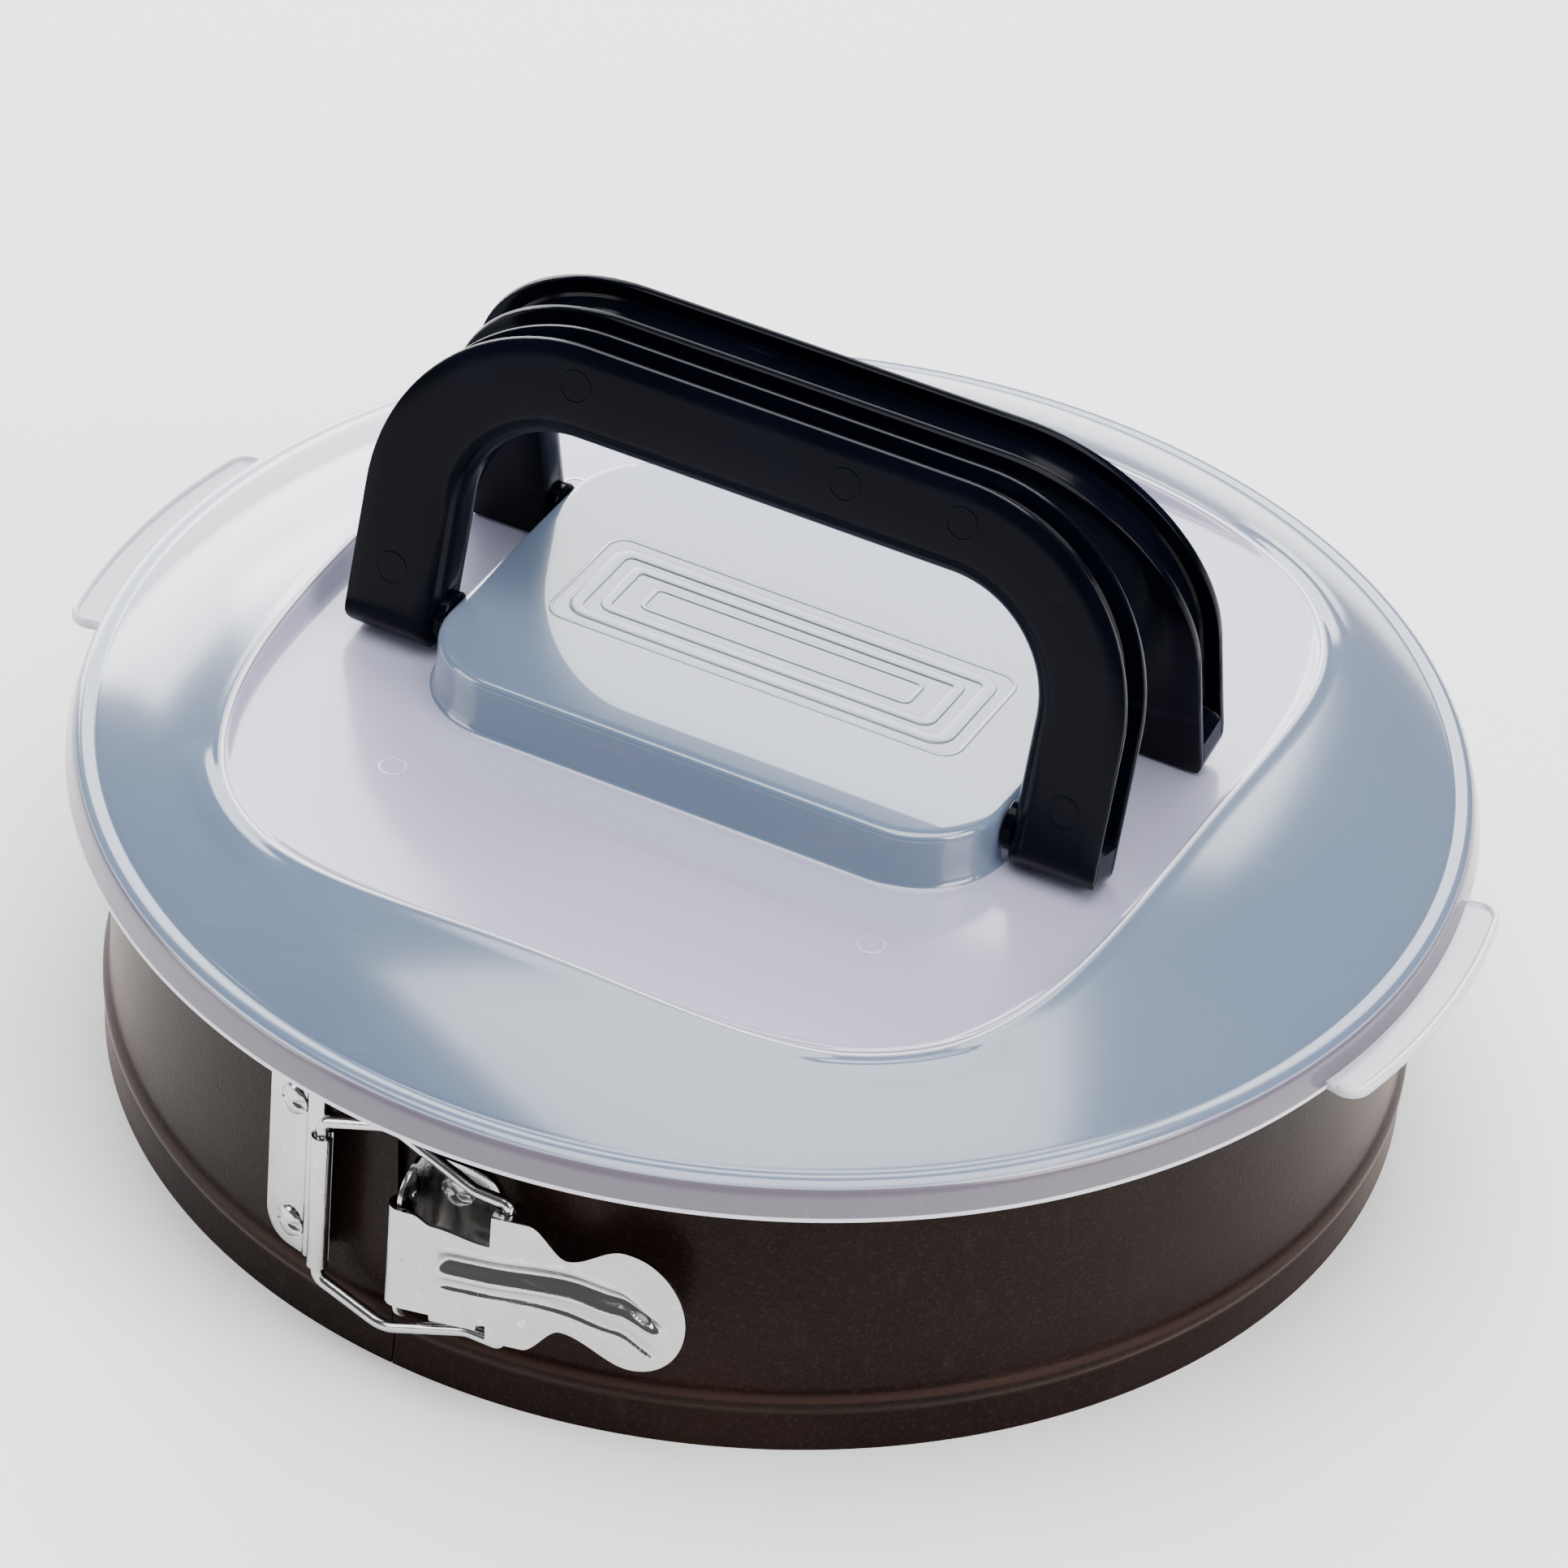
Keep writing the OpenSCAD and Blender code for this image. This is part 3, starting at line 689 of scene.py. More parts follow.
# Copies one piece to each point of the host mesh, turned to the point's stored direction.
def spreadTree(name, material):
    tree = bpy.data.node_groups.new(name, "GeometryNodeTree")
    sockets = [tree.interface.new_socket(label, in_out=way, socket_type="NodeSocket" + kind)
               for label, way, kind in (("Geometry", "INPUT", "Geometry"), ("Piece", "INPUT", "Object"),
                                        ("Size", "INPUT", "Float"), ("Geometry", "OUTPUT", "Geometry"))]
    given = tree.nodes.new("NodeGroupInput").outputs
    single = addNode(tree, "GeometryNodeObjectInfo", Object=given["Piece"])
    turn = addNode(tree, "GeometryNodeInputNamedAttribute", {"data_type": "FLOAT_VECTOR"}, Name="turn")
    copies = addNode(tree, "GeometryNodeInstanceOnPoints", Points=given["Geometry"],
                     Instance=single.outputs["Geometry"], Rotation=turn.outputs["Attribute"],
                     Scale=given["Size"])
    real = addNode(tree, "GeometryNodeRealizeInstances", Geometry=copies.outputs["Instances"])
    paint = addNode(tree, "GeometryNodeSetMaterial", Geometry=real.outputs["Geometry"], Material=material)
    addNode(tree, "NodeGroupOutput", Geometry=paint.outputs["Geometry"])
    return tree, sockets[1].identifier, sockets[2].identifier


# Plain mesh of one part copied to several places with a turn for each.
def spread(name, points, turns, part, material, sharp=40):
    single = makePiece(name + "One", part[0], part[1], material, sharp)
    mesh = bpy.data.meshes.new(name)
    mesh.from_pydata((np.asarray(points, float) * 0.001).tolist(), [], [])
    attribute = mesh.attributes.new("turn", "FLOAT_VECTOR", "POINT")
    attribute.data.foreach_set("vector", np.asarray(turns, float).ravel())
    host = addObject(name, mesh)
    modifier = host.modifiers.new("spread", "NODES")
    modifier.node_group, pieceId, sizeId = spreadTree(name + "Spread", material)
    modifier[pieceId] = single
    modifier[sizeId] = 1.0
    bakeModifiers(host)
    bpy.data.objects.remove(single)
    return host


def rivetRow(name, at, up, body, replaces):
    angle = math.radians(band["seam"] + at)
    r = band["radius"] - band["sheet"] - 0.1
    places = [(r * math.cos(angle), r * math.sin(angle), latch["z"] + s * up) for s in (-1, 1)]
    host = spread(name, places, [(0, 0, angle), (0, 0, angle)], rivetMesh(), rivetSteel)
    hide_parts(replaces)
    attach(host, body)


rivetRow("hingeRivets", rivet["hingeAt"], rivet["hingeUp"], "left_band", "hinge_plate_rivets")
rivetRow("bracketRivets", rivet["bracketAt"], rivet["bracketUp"], "right_band", "bracket_rivets")
print("rivets made")


bail = {"spread": 19.0, "wide": 24.6, "narrow": 17.2, "length": 40.45, "turn": -0.85, "tip": 14.45,
        "narrowFrom": 33, "wideAt": 15, "bends": (1.3, 6, 7, 2.6)}
half = [(bail["length"], bail["tip"]), (bail["length"], bail["narrow"]), (bail["narrowFrom"], bail["narrow"]),
        (bail["wideAt"], bail["wide"]), (0, bail["spread"])]
flat = half + [(x, -y) for x, y in reversed(half)]
turn = math.radians(bail["turn"])
places = [np.array([pin[0] + x * math.cos(turn), pin[1] + x * math.sin(turn), latch["z"] + y])
          for x, y in flat]
wirePath = roundPath(places, bail["bends"] + bail["bends"][::-1])
wirePart = sweepRound(wirePath, latch["wire"], 20)
wire = makePiece("wireBail", *wirePart, wireSteel, 50)
weld(wire, 0.001)
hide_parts("wire_bail")
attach(wire, "bail")
print("bail made")


lever = {"length": 56.6, "end": 13.8, "endDrop": 1.2, "curlHalf": 11.7, "ear": 15.2, "earHole": 1.4,
         "holeAt": 20.5, "grooveDepth": 1.9, "grooveHalf": 3.0, "lobeTop": 43.8, "lobeLow": 46.2}


def lerpTable(table, s):
    for (a, va), (b, vb) in zip(table, table[1:]):
        if s <= b:
            return va + (vb - va) * smooth((s - a) / (b - a))
    return table[-1][1]


# Upper and lower edges from the pivot to the lobe, as smooth steps between named stations.
upperEdge = [(-3, 11.7), (2.5, 11.7), (6.6, 9.7), (17.2, 7.8), (17.9, 7.8), (18.0, 15.1), (25.2, 15.1),
             (33.0, 8.6), (lever["lobeTop"], lever["end"])]
lowerEdge = [(-3, -11.7), (6.8, -11.7), (7.0, -13.0), (16, -13.0), (16.2, -11.5), (17.9, -11.5),
             (18.0, -15.1), (25.2, -15.1), (32.4, -8.9), (lever["lobeLow"], -lever["end"])]


# Share of the way from where a lobe starts to the lever's tip.
def lobeShare(s, start):
    return (s - start) / (lever["length"] - start)


def lobeEdge(s, start):
    return lever["end"] * math.sqrt(max(0, 1 - lobeShare(s, start) ** 2))


def leverEdge(s):
    up = lerpTable(upperEdge, s) if s < lever["lobeTop"] else lobeEdge(s, lever["lobeTop"])
    low = lerpTable(lowerEdge, s) if s < lever["lobeLow"] else -lobeEdge(s, lever["lobeLow"])
    shift = -lever["endDrop"] * lobeShare(s, lever["lobeLow"]) ** 2 if s > lever["lobeLow"] else 0.0
    return up + shift, low + shift


# Middle of the pressed groove above the lever's own middle line.
def grooveLine(s):
    return lerpTable([(6, 1.6), (17, 1.6), (33, 2.9), (43, 1.6), (52, -2.4)], s)


# How far the sheet is pressed towards the band at a place, positive inwards.
def press(s, v):
    along = smooth((s - 7.0) / 3.0) * smooth((52.6 - s) / 3.6)
    width = lever["grooveHalf"] * (0.5 + 0.5 * smooth((54.0 - s) / 14.0))
    d = abs(v - grooveLine(s)) / max(width, 0.3)
    groove = lever["grooveDepth"] * along * (0.5 + 0.5 * math.cos(math.pi * min(d, 1.0)))
    lip = -0.22 * along * math.exp(-((d - 1.15) / 0.18) ** 2)
    fold = grooveLine(s) - 5.6 - 1.6 * smooth((s - 20) / 20)
    crease = 0.55 * along * smooth((v - fold + 0.9) / 0.9) * smooth((fold + 3.4 - v) / 3.4)
    bow = 0.35 * math.sin(min(1.0, max(0.0, (s - 8) / 46)) * math.pi) - 0.25 * (v / 14) ** 2
    return groove + lip + crease + bow


turnL = math.radians(latch["leverTurn"])
alongL = np.array([math.cos(turnL), math.sin(turnL)])
outL = np.array([math.sin(turnL), -math.cos(turnL)])
pivotL = np.array(latch["leverPivot"])


# Place on the lever: along it, up, and out from the pivot's plane.
def onLever(s, v, n):
    p = pivotL + alongL * s + outL * n
    return (p[0], p[1], latch["z"] + v)


stations = sorted(set(np.round(np.concatenate([
    np.linspace(0.6, 6.4, 12), [6.8, 7.0], np.linspace(7.4, 17.6, 26), [16.0, 16.2, 17.9, 18.0],
    np.linspace(18.4, 44, 52), lever["length"] - 14 * (1 - np.sin(np.linspace(0, math.pi / 2, 26)))]), 4)))
lastStation = lever["length"] - 0.004
stations = [s for s in stations if s < lastStation] + [lastStation]
face = latch["curl"]


def leverPoint(i, j, out):
    s = stations[i]
    up, low = leverEdge(s)
    reach = 1.5 * lever["grooveHalf"]
    below = min(0.45, max(0.12, (grooveLine(s) - reach - low) / (up - low)))
    above = min(0.88, max(0.55, (grooveLine(s) + reach - low) / (up - low)))
    v = low + (up - low) * float(np.interp(j, [0, 0.25, 0.75, 1], [0, below, above, 1]))
    return onLever(s, v, face - latch["leverSheet"] + out - press(s, v))


leverParts = [sheetGrid(leverPoint, range(len(stations)), np.linspace(0, 1, 96), latch["leverSheet"])]
# Curl: from the face round the bracket's bar and back under it.
mid = face - latch["leverSheet"] / 2
curlPath = [pivotL + alongL * 1.4 + outL * mid]
curlPath += [pivotL + mid * (outL * math.cos(t) - alongL * math.sin(t))
             for t in np.linspace(0, math.radians(292), 34)]
leverParts.append(ribbon(curlPath, latch["z"] - lever["curlHalf"], latch["z"] + lever["curlHalf"],
                         latch["leverSheet"]))


# Ears at the top and bottom edges, each with a hole for the wire's tip.
earOutline = [(18.0, 2.4), (18.0, -1.2)]
earOutline += arcPoints(20.5, -0.5, 2.5, 180, 270, 8)
earOutline += arcPoints(21.6, -0.4, 2.6, 270, 360, 8)
earOutline += [(24.6, 1.2), (25.4, 2.4)]
earHole = [(lever["holeAt"] + lever["earHole"] * math.cos(a), lever["earHole"] * math.sin(a))
           for a in np.linspace(0, 2 * math.pi, 24, endpoint=False)]


def earPart(level):
    def place(x, y, out):
        return onLever(x, level + out, y)

    return polygonPlate(earOutline, place, latch["leverSheet"], [earHole])


leverParts += [earPart(-lever["ear"]), earPart(lever["ear"] - latch["leverSheet"])]
leverVerts, leverFaces = mergeParts(leverParts)
leverPiece = makePiece("latchLever", leverVerts, leverFaces, latchSheet)
addBevel(weld(leverPiece), 0.16, 2, 50)
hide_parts("lever")
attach(leverPiece, "lever")
print("lever made")


lid = {
    "wall": 1.7, "skirtZ": 63.65, "floorZ": 82.17, "recessX": 91.6, "recessY": 101.2, "power": 3.6,
    "boxX": 60.85, "boxY": 43.6, "boxR": 18.5, "boxTop": 94.17, "crown": 96.0, "count": 400,
}


def domeZ(r):
    return lid["crown"] - 0.000698 * r * r - 2.13e-12 * r ** 6


theta = np.arange(lid["count"]) * 2 * math.pi / lid["count"]
ct, st = np.cos(theta), np.sin(theta)


def circleLoop(r):
    return np.stack([r * ct, r * st], 1)


# Radius of the recess at an angle: a rounded square between a circle and a box.
def recessRadius(angle):
    across, along = np.abs(np.cos(angle) / lid["recessX"]), np.abs(np.sin(angle) / lid["recessY"])
    return (across ** lid["power"] + along ** lid["power"]) ** (-1 / lid["power"])


recessR = recessRadius(theta)
recessLoop = np.stack([recessR * ct, recessR * st], 1)


def boxRadius(a):
    x, y, r = lid["boxX"], lid["boxY"], lid["boxR"]
    c, s = abs(math.cos(a)), abs(math.sin(a))
    reach = min(x / c if c > 1e-9 else 1e9, y / s if s > 1e-9 else 1e9)
    px, py = reach * c, reach * s
    if px > x - r and py > y - r:
        cx, cy = x - r, y - r
        b = c * cx + s * cy
        reach = b + math.sqrt(max(0, b * b - (cx * cx + cy * cy - r * r)))
    return reach


boxR = np.array([boxRadius(a) for a in theta])
boxLoop = np.stack([boxR * ct, boxR * st], 1)


def outward(loop):
    tangent = np.roll(loop, -1, 0) - np.roll(loop, 1, 0)
    tangent /= np.linalg.norm(tangent, axis=1)[:, None]
    return np.stack([tangent[:, 1], -tangent[:, 0]], 1)


boxOut, recessOut = outward(boxLoop), outward(recessLoop)


def radiusOf(loop):
    return np.linalg.norm(loop, axis=1)


def mixLoops(a, b, t):
    return a + (b - a) * t


def ease(x):
    x = np.clip(x, 0, 1)
    return x * x * (3 - 2 * x)


boxTopLine = [(-4.0, 0), (-2.9, 0), (-1.6, 0), (-1.05, -0.1), (-0.5, -0.42), (-0.14, -0.95), (0.0, -1.6),
              (0.08, -5.0), (0.15, -9.5), (0.3, -10.8), (0.7, -11.55), (1.3, -11.9), (2.2, -12.0)]
ridgeLine = [(-3.4, 0.0), (-2.4, 0.015), (-1.6, 0.09), (-1.0, 0.28), (-0.55, 0.6), (-0.2, 0.84),
             (0.2, 0.97), (0.7, 1.03), (1.2, 1.04), (1.7, 1.01)]
edgeLine = [
    (133.2, domeZ(133.2)), (133.7, 71.35), (133.95, 71.12), (134.3, 71.02), (135.2, 71.0), (136.2, 70.95),
    (136.9, 70.75), (137.5, 70.4), (138.0, 69.9), (138.35, 69.3), (138.7, 67.9), (139.2, 65.9),
    (139.5, 64.55), (139.54, 64.4), (139.7, 64.2), (139.74, 63.9), (139.66, 63.65), (139.3, 63.58),
    (138.4, 63.58), (138.1, 63.7), (138.05, 63.95),
]
innerLine = [(137.6, 65.9), (137.0, 68.2), (136.7, 68.9), (136.1, 69.25), (134.6, 69.3), (133.0, 69.35),
             (132.0, 70.2)]
level = np.full(lid["count"], 1.0)
loops = [(boxLoop * f, level * lid["boxTop"]) for f in (0.05, 0.2, 0.4, 0.6, 0.75, 0.86)]
loops += [(boxLoop + boxOut * d, level * (lid["boxTop"] + z)) for d, z in boxTopLine]
floorEdge = recessLoop - recessOut * 3.4
floorInner = boxLoop + boxOut * 2.2
loops += [(mixLoops(floorInner, floorEdge, t), level * lid["floorZ"]) for t in (0.2, 0.4, 0.6, 0.8)]
ridge = np.maximum(domeZ(radiusOf(recessLoop + recessOut * 1.4)) - lid["floorZ"], 0.25)
loops += [(recessLoop + recessOut * d, lid["floorZ"] + ridge * f) for d, f in ridgeLine]
for d, lift in ((2.3, 0.12), (2.9, 0.0), (4.5, 0.0)):
    loop = recessLoop + recessOut * d
    loops.append((loop, np.maximum(domeZ(radiusOf(loop)), lid["floorZ"] + 0.05) + lift * ease(ridge / 3)))
ridgeLoop = recessLoop + recessOut * 4.5
for t in (0.15, 0.3, 0.45, 0.6, 0.75, 0.9):
    loop = mixLoops(ridgeLoop, circleLoop(133.2), t)
    loops.append((loop, domeZ(radiusOf(loop))))
# The outer edge, then the inside surface from the skirt up and in to the middle.
loops += [(circleLoop(r), level * z) for r, z in edgeLine + innerLine]
innerRidge = recessLoop + recessOut * (1.7 + 1.0)
for t in (0.25, 0.5, 0.75, 1.0):
    loop = mixLoops(circleLoop(132.0), innerRidge, t)
    loops.append((loop, domeZ(radiusOf(loop)) - lid["wall"] - 0.1))
innerFloor = lid["floorZ"] - lid["wall"]
innerTop = 92.45
innerHeight = np.maximum(domeZ(radiusOf(innerRidge)) - lid["wall"] - 0.1 - innerFloor, 0.0)
for d, f in ((2.2, 0.93), (1.8, 0.6), (1.5, 0.2), (0.8, 0.0)):
    loops.append((recessLoop + recessOut * d, innerFloor + innerHeight * f))
for t in (0.33, 0.66):
    loops.append((mixLoops(recessLoop + recessOut * 0.8, boxLoop + boxOut * 0.6, t), level * innerFloor))
for d, z in ((0.6, innerFloor), (-1.2, innerFloor + 0.3), (-1.6, innerFloor + 1.4), (-1.7, innerFloor + 6),
             (-1.8, 91.4), (-2.1, 92.2), (-2.8, innerTop)):
    loops.append((boxLoop + boxOut * d, level * z))
loops += [(boxLoop * f, level * innerTop) for f in (0.8, 0.5, 0.2, 0.05)]

lidVerts = np.concatenate([np.column_stack([loop, z]) for loop, z in loops])
lidFaces = gridFaces(len(loops), lid["count"])
n = lid["count"]
top, bottom = len(lidVerts), len(lidVerts) + 1
lidVerts = np.concatenate([lidVerts, [(0, 0, lid["boxTop"]), (0, 0, innerTop)]])
last = (len(loops) - 1) * n
for j in range(n):
    k = (j + 1) % n
    lidFaces.append((top, k, j))
    lidFaces.append((last + j, last + k, bottom))
lidShell = makePiece("lidShell", lidVerts, [tuple(reversed(f)) for f in lidFaces], lidPlastic, 60)
weld(lidShell, 0.0001)


# Stores the tone of each point of a plastic piece.
def paintTones(piece, toneAt):
    attribute = piece.data.attributes.new("tone", "FLOAT", "POINT")
    attribute.data.foreach_set("value", [toneAt(*(v.co * 1000)) for v in piece.data.vertices])


def lidTone(x, y, z):
    r, angle = math.hypot(x, y), math.atan2(y, x)
    # Painted highlight along the skirt's bottom edge.
    if z < 64.45:
        return 3.0
    if r > 137.8:
        return 2.0
    recess = recessRadius(angle)
    # Painted highlight along the crest of the ridge round the recess.
    if z > lid["floorZ"] - 0.4 and recess + 0.45 < r < recess + 1.5:
        return 3.0
    if z < lid["floorZ"] + 0.4 and boxRadius(angle) + 0.8 < r < recess or recess - 4 < r < recess + 0.5:
        return 1.0
    return -1.0 if r < boxRadius(angle) + 1.0 else 0.0


# Cuts round holes along X through a piece.
def cutHoles(piece, centres, radius, length):
    cutters = []
    for y, z in centres:
        part = lathe([(0, -length), (radius, -length), (radius, length), (0, length)], 32, closed=False)
        verts = part[0][:, [2, 1, 0]] * [1, 1, -1]
        cutters.append((verts + [0, y, z], part[1]))
    cutter = makePiece("cutter", *mergeParts(cutters), lidPlastic, 0)
    weld(cutter)
    modifier = piece.modifiers.new("holes", "BOOLEAN")
    modifier.operation = "DIFFERENCE"
    modifier.solver = "EXACT"
    modifier.object = cutter
    bakeModifiers(piece).set_sharp_from_angle(angle=math.radians(60))
    bpy.data.objects.remove(cutter)


handle = {
    "pivotY": 22.08, "pivotZ": 89.73, "x": 82.2, "height": 66.4, "corner": 41.5, "innerX": 62.7,
    "innerH": 46.4, "innerR": 22.0, "front": 6.94, "back": 4.06, "foot": 7.2, "heel": 3.2, "groove": 4.0,
    "rail": 1.75, "peg": 2.35, "lean": 14.0,
}
cutHoles(lidShell, [(s * handle["pivotY"], handle["pivotZ"]) for s in (-1, 1)], handle["peg"] + 0.05, 64)
paintTones(lidShell, lidTone)
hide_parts("lid")
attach(lidShell, "lid")


tab = {"rootR": 139.0, "outR": 146.7, "halfDeg": 13.6, "corner": 4.5, "rim": 2.4}


# Lifting tab: a thin plate with a raised outer rim and round corners.
def tabPart(turn):
    r0, r1, halfDeg, corner = tab["rootR"], tab["outR"], tab["halfDeg"], tab["corner"]
    cornerDeg = math.degrees(corner / r1)
    angles = np.radians(np.concatenate([
        -halfDeg + (1 - np.cos(np.linspace(0, math.pi / 2, 12))) * cornerDeg,
        np.linspace(-halfDeg + cornerDeg, halfDeg - cornerDeg, 40)[1:-1],
        halfDeg - (1 - np.cos(np.linspace(math.pi / 2, 0, 12))) * cornerDeg]))
    # Share of the way out, and height above the skirt's edge.
    section = [(0.0, 0.0), (0.0, 1.55), (0.35, 1.6), (0.76, 1.6), (0.80, 1.7), (0.84, 2.25),
               (0.88, tab["rim"]), (0.95, tab["rim"]), (0.985, 2.2), (1.0, 1.8), (1.0, 0.3), (0.97, 0.0)]
    verts = []
    for i, a in enumerate(angles):
        side = (math.radians(halfDeg) - abs(a)) * r1
        cut = cornerCut(corner, side)
        edge = min(1.0, min(i, len(angles) - 1 - i) / 3.0)
        for f, z in section:
            r = r0 + (r1 - cut - r0) * f
            lift = tab["rim"] if edge < 1 and 0 < f and z > 1.5 else z
            up = z * edge + lift * (1 - edge) if z > 0.5 else z
            verts.append((r * math.cos(a + turn), r * math.sin(a + turn), lid["skirtZ"] + up))
    count = len(section)
    faces = gridFaces(len(angles), count)
    faces += [tuple(range(count)), tuple(reversed(range(len(verts) - count, len(verts))))]
    return np.array(verts), faces


tabs = makePiece("lidTabs", *mergeParts([tabPart(0), tabPart(math.pi)]), lidPlastic, 50)
weld(tabs, 0.005)
# The tabs are pale, a mix of the skirt colour and the painted lip highlight; their raised rims get the full
# painted highlight.
paintTones(tabs, lambda x, y, z: 3.0 if z > 65.4 else 2.6)
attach(tabs, "lid")


# Small rest beside the box under each peg.
def restPart(x, y):
    arch = [(3.4 * math.cos(a), 3.6 * math.sin(a)) for a in np.linspace(math.pi, 0, 14)]
    sign = 1 if x > 0 else -1

    def place(u, v, out):
        return (x + sign * (v * 0.75 - 0.2), y + u, lid["floorZ"] - 0.05 + out)

    return polygonPlate([(-3.4, 0)] + arch + [(3.4, 0)], place, 4.4)


restPlaces = [(sx * 60.9, sy * handle["pivotY"]) for sx in (-1, 1) for sy in (-1, 1)]
rests = makePiece("pegRests", *mergeParts([restPart(x, y) for x, y in restPlaces]), lidPlastic, 40)
weld(rests)
paintTones(rests, lambda x, y, z: 0.6)
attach(rests, "lid")

# Plain raised frames on the box, where a maker's panel would be.
panel = {"centreY": -1.0, "rise": 0.22}


# Raised band following a rounded rectangle, with soft shoulders.
def frameRing(halfX, halfY, corner, width, rise):
    arc = np.linspace(0, math.pi / 2, 9)
    shoulder = rise * 0.75
    section = [(0.0, -0.05), (0.12, shoulder), (0.3, rise), (width - 0.3, rise), (width - 0.12, shoulder),
               (width, -0.05)]
    rings = []
    for inset, z in section:
        x, y, r = halfX - inset, halfY - inset, max(corner - inset, 0.4)
        ring = []
        for k, (sx, sy) in enumerate(((1, 1), (-1, 1), (-1, -1), (1, -1))):
            for a in arc + k * math.pi / 2:
                ring.append((sx * (x - r) + r * math.cos(a),
                             panel["centreY"] + sy * (y - r) + r * math.sin(a), lid["boxTop"] + z))
        rings.append(ring)
    cols = len(rings[0])
    return np.array([q for ring in rings for q in ring]), gridFaces(len(rings), cols, True, True)


# Each frame's half length, half height, corner, width and share of the rise.
panelSizes = [(45.5, 15.6, 4.5, 0.9, 0.6), (42.4, 12.8, 4.5, 3.0, 1.0), (37.0, 8.6, 3.0, 2.4, 1.0),
              (30.0, 4.2, 2.0, 1.2, 0.8)]
panelParts = [frameRing(*size, panel["rise"] * share) for *size, share in panelSizes]
panelFrames = makePiece("panelFrames", *mergeParts(panelParts), lidPlastic, 60)
weld(panelFrames, 0.001)
paintTones(panelFrames, lambda x, y, z: 0.35)
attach(panelFrames, "lid")

# Small moulding rings on the recess floor.
markRing = lathe([(2.3, -0.02), (2.3, 0.12), (2.6, 0.16), (2.9, 0.12), (2.9, -0.02)], 40)
markPlaces = [(x, y, lid["floorZ"]) for x, y in ((-52, -62), (68, 40), (52, -62), (-68, 40))]
marks = spread("gateMarks", markPlaces, [(0, 0, 0)] * 4, markRing, lidPlastic)
paintTones(marks, lambda x, y, z: 1.0)
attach(marks, "lid")
print("lid made")


# Matching points on the outer and inner edges from one foot round to the other, as (outer, inner) pairs.
def handleStations():
    x, h, r = handle["x"], handle["height"], handle["corner"]
    ix, ih, ir = handle["innerX"], handle["innerH"], handle["innerR"]
    foot = handle["foot"]
    pairs = []
    for a in np.radians([-88.5, -80, -68, -55, -42, -30, -18, -8]):
        u = foot * math.sin(a)
        cut = cornerCut(handle["heel"], foot + u)
        pairs.append(((x - cut, u), (ix + cut, u)))
    for u in (0.3, 1.2, 2.2, 3.2, 4.4, 6.0):
        pairs.append(((x, u), (ix, u)))
    for t in np.linspace(0, 1, 7)[1:]:
        pairs.append(((x, 6.0 + (h - r - 6.0) * t), (ix, 6.0 + (ih - ir - 6.0) * t)))
    for a in np.radians(np.linspace(0, 90, 25))[1:]:
        pairs.append(((x - r + r * math.cos(a), h - r + r * math.sin(a)),
                      (ix - ir + ir * math.cos(a), ih - ir + ir * math.sin(a))))
    for t in np.linspace(0, 0.5, 9)[1:]:
        pairs.append((((x - r) * (1 - 2 * t), h), ((ix - ir) * (1 - 2 * t), ih)))
    mirrored = [((-o[0], o[1]), (-i[0], i[1])) for o, i in reversed(pairs[:-1])]
    return pairs + mirrored


# Points of the section: distance in from the outer edge, and place through the thickness.
def handleSection(u, width):
    front, back = handle["front"], -handle["back"]
    depth = handle["groove"] * smooth((u - 1.6) / 1.8)
    rail = handle["rail"]
    g0, g1 = back + rail, front - rail
    e = 0.45  # rounding of the outer rails
    lip = max(depth - 0.5, min(0.36, depth))
    shallow = min(0.35, depth)
    pts = [(e, front), (0.13, front - 0.13), (0.0, front - e), (0.0, g1 + 0.35), (0.1, g1 + 0.08)]
    pts += [(shallow, g1), (lip, g1), (depth, g1 - 0.5), (depth, (g0 + g1) / 2), (depth, g0 + 0.5), (lip, g0)]
    pts += [(shallow, g0), (0.1, g0 - 0.08), (0.0, g0 - 0.35), (0.0, back + e), (0.13, back + 0.13)]
    pts += [(e, back), (width * 0.35, back), (width * 0.7, back), (width - 0.9, back)]
    bend = 5.0  # rounding of the inner front edge
    pts += [(width - 0.27, back + 0.27), (width, back + 0.9), (width, (back + front - bend) / 2)]
    pts += arcPoints(width - bend, front - bend, bend, 0, 90, 9)
    pts += [(width * 0.45, front), (width * 0.2, front)]
    return pts


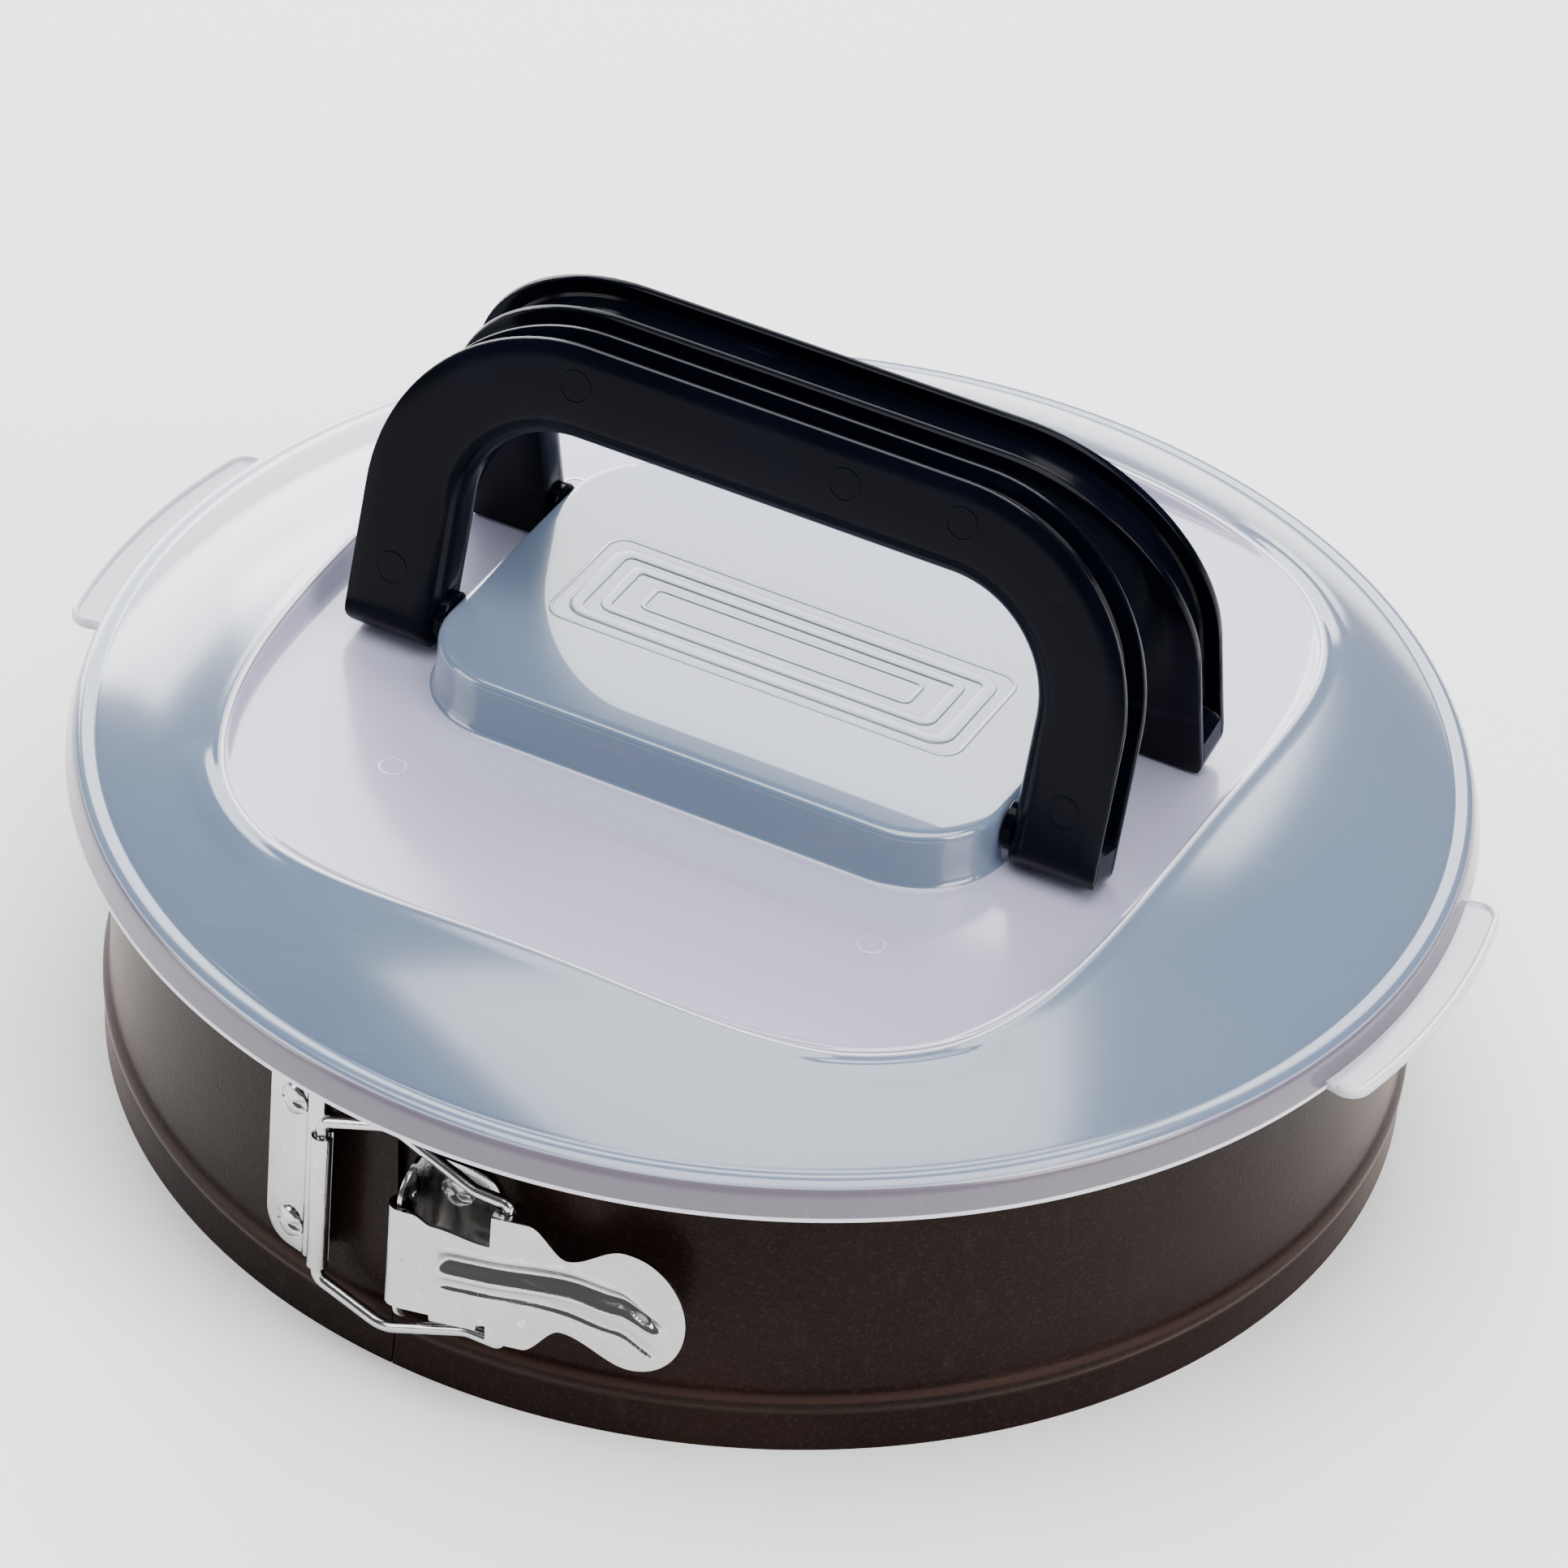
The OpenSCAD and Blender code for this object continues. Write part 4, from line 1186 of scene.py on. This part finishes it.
def handlePart():
    stations = handleStations()
    rings = []
    for outer, inner in stations:
        outer, inner = np.array(outer), np.array(inner)
        width = np.linalg.norm(outer - inner)
        way = (inner - outer) / width
        u = outer[1]
        reach = math.sqrt(max(0.0, handle["foot"] ** 2 - min(0.0, u) ** 2)) if u < 0 else 1e9
        for d, through in handleSection(u, width):
            p = outer + way * d
            through = max(-reach, min(reach, through))
            rings.append((p[0], -through, p[1]))
    cols = len(handleSection(10, 19.5))
    faces = gridFaces(len(stations), cols)
    faces += [tuple(reversed(range(cols))), tuple(range(len(rings) - cols, len(rings)))]
    parts = [(np.array(rings), faces)]
    for sign in (-1, 1):
        start = handle["innerX"] + 0.6
        tip = start - 57.9
        profile = [(0, tip), (handle["peg"] - 0.4, tip), (handle["peg"], start - 58.4),
                   (handle["peg"], start - 61.25), (5.0, start - 61.25), (5.25, start - 61.5),
                   (5.25, 0.0), (0, 0)]
        verts, pegFaces = lathe(profile, 40, closed=False)
        verts = np.stack([sign * (start - verts[:, 2]), verts[:, 1], verts[:, 0] * sign], 1)
        parts.append((verts, pegFaces))
    # Small moulding rings on the front face.
    ring = lathe([(2.95, -0.05), (2.95, 0.06), (3.2, 0.1), (3.45, 0.06), (3.45, -0.05)], 36)
    for s, u in ((-73.5, 8.7), (-41.7, 58.0), (16.8, 57.5), (41.7, 58.0), (73.5, 8.7)):
        verts = np.stack([ring[0][:, 0] + s, -handle["front"] - ring[0][:, 2], ring[0][:, 1] + u], 1)
        parts.append((verts, ring[1]))
    return mergeParts(parts)


handleBase = handlePart()


def placeHandle(name, turnZ, body, node):
    verts, faces = handleBase
    lean = math.radians(-handle["lean"])
    matrix = Matrix.Rotation(turnZ, 3, "Z") @ Matrix.Rotation(lean, 3, "X")
    out = np.array([matrix @ Vector(v) for v in verts])
    offset = Matrix.Rotation(turnZ, 3, "Z") @ Vector((0, -handle["pivotY"], handle["pivotZ"]))
    piece = makePiece(name, out + np.array(offset), faces, handlePlastic, 38)
    weld(piece, 0.002)
    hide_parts(node)
    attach(piece, body)
    return piece


placeHandle("frontHandle", 0.0, "front_handle", "front_handle")
placeHandle("backHandle", math.pi, "back_handle", "back_handle")
print("handles made")


stage = {"floor": (0.93, 0.93, 0.93, 1), "floorLight": (0.95, 0.95, 0.95, 1), "half": 6, "back": 46.0,
         "side": 26.0, "key": 34.0, "top": 52.0, "fill": 16.0, "world": 0.17}
floorMaterial, tree, shader = newMaterial("floor")
vary = useGroup(tree, surfaceGroup, Blotch_Scale=3.0, Speck_Scale=400.0, Speck_Amount=0.02, Relief=0.01)
floorColor = mixColor(tree, vary.outputs["Blotch"], stage["floor"], stage["floorLight"])
feed(tree, shader, Base_Color=floorColor, Roughness=0.9)
floorMesh = bpy.data.meshes.new("floor")
floorCorners = [(x * stage["half"], y * stage["half"], 0) for x, y in ((-1, -1), (1, -1), (1, 1), (-1, 1))]
floorMesh.from_pydata(floorCorners, [], [(0, 1, 2, 3)])
floor = addObject("floor", floorMesh)
floorMesh.materials.append(floorMaterial)

world = bpy.data.worlds.new("world")
bpy.context.scene.world = world
world.use_nodes = True
feed(world.node_tree, world.node_tree.nodes["Background"], Color=(0.95, 0.96, 1.0, 1),
     Strength=stage["world"])


def areaLight(name, place, target, size, power, color=(1, 1, 1)):
    data = bpy.data.lights.new(name, "AREA")
    data.shape = "RECTANGLE"
    data.size, data.size_y = size
    data.energy = power
    data.color = color
    light = addObject(name, data)
    light.location = place
    light.rotation_euler = (Vector(target) - Vector(place)).to_track_quat("-Z", "Y").to_euler()


centre = (0, 0, 0.06)
areaLight("backBox", (-0.62, 1.30, 1.08), centre, (1.7, 1.0), stage["back"], (0.97, 0.98, 1.0))
areaLight("sideBox", (-1.25, 1.15, 0.42), centre, (1.1, 0.7), stage["side"], (0.98, 0.98, 1.0))
areaLight("topBox", (0.1, -0.1, 1.6), centre, (1.5, 1.5), stage["top"])
areaLight("keyBox", (1.55, -0.35, 0.95), centre, (1.0, 1.1), stage["key"], (1.0, 0.97, 0.94))
areaLight("fillBox", (-1.35, -0.95, 0.7), centre, (0.9, 1.0), stage["fill"], (0.96, 0.98, 1.0))

view = {"away": 1.36226, "height": 1.07871, "turn": 25.06, "pan": 0.09, "tilt": 36.79, "roll": 4.64,
        "lens": 197.46}


# Camera axes from its turn round the object, pan, tilt and roll.
def lookMatrix():
    pan, tilt, roll = (math.radians(view[k]) for k in ("pan", "tilt", "roll"))
    forward = np.array([math.sin(pan) * math.cos(tilt), math.cos(pan) * math.cos(tilt), -math.sin(tilt)])
    right = np.array([math.cos(pan), -math.sin(pan), 0.0])
    up = np.cross(right, forward)
    right, up = math.cos(roll) * right + math.sin(roll) * up, -math.sin(roll) * right + math.cos(roll) * up
    place = Matrix.Translation((0, -view["away"], view["height"]))
    axes = Matrix(np.stack([right, up, -forward], 1).tolist()).to_4x4()
    return Matrix.Rotation(math.radians(view["turn"]), 4, "Z") @ place @ axes


cameraData = bpy.data.cameras.new("camera")
cameraData.sensor_width = 36
cameraData.lens = view["lens"]
cameraData.clip_start, cameraData.clip_end = 0.05, 50
camera = addObject("camera", cameraData)
camera.matrix_world = lookMatrix()
bpy.context.scene.camera = camera
print("stage made")
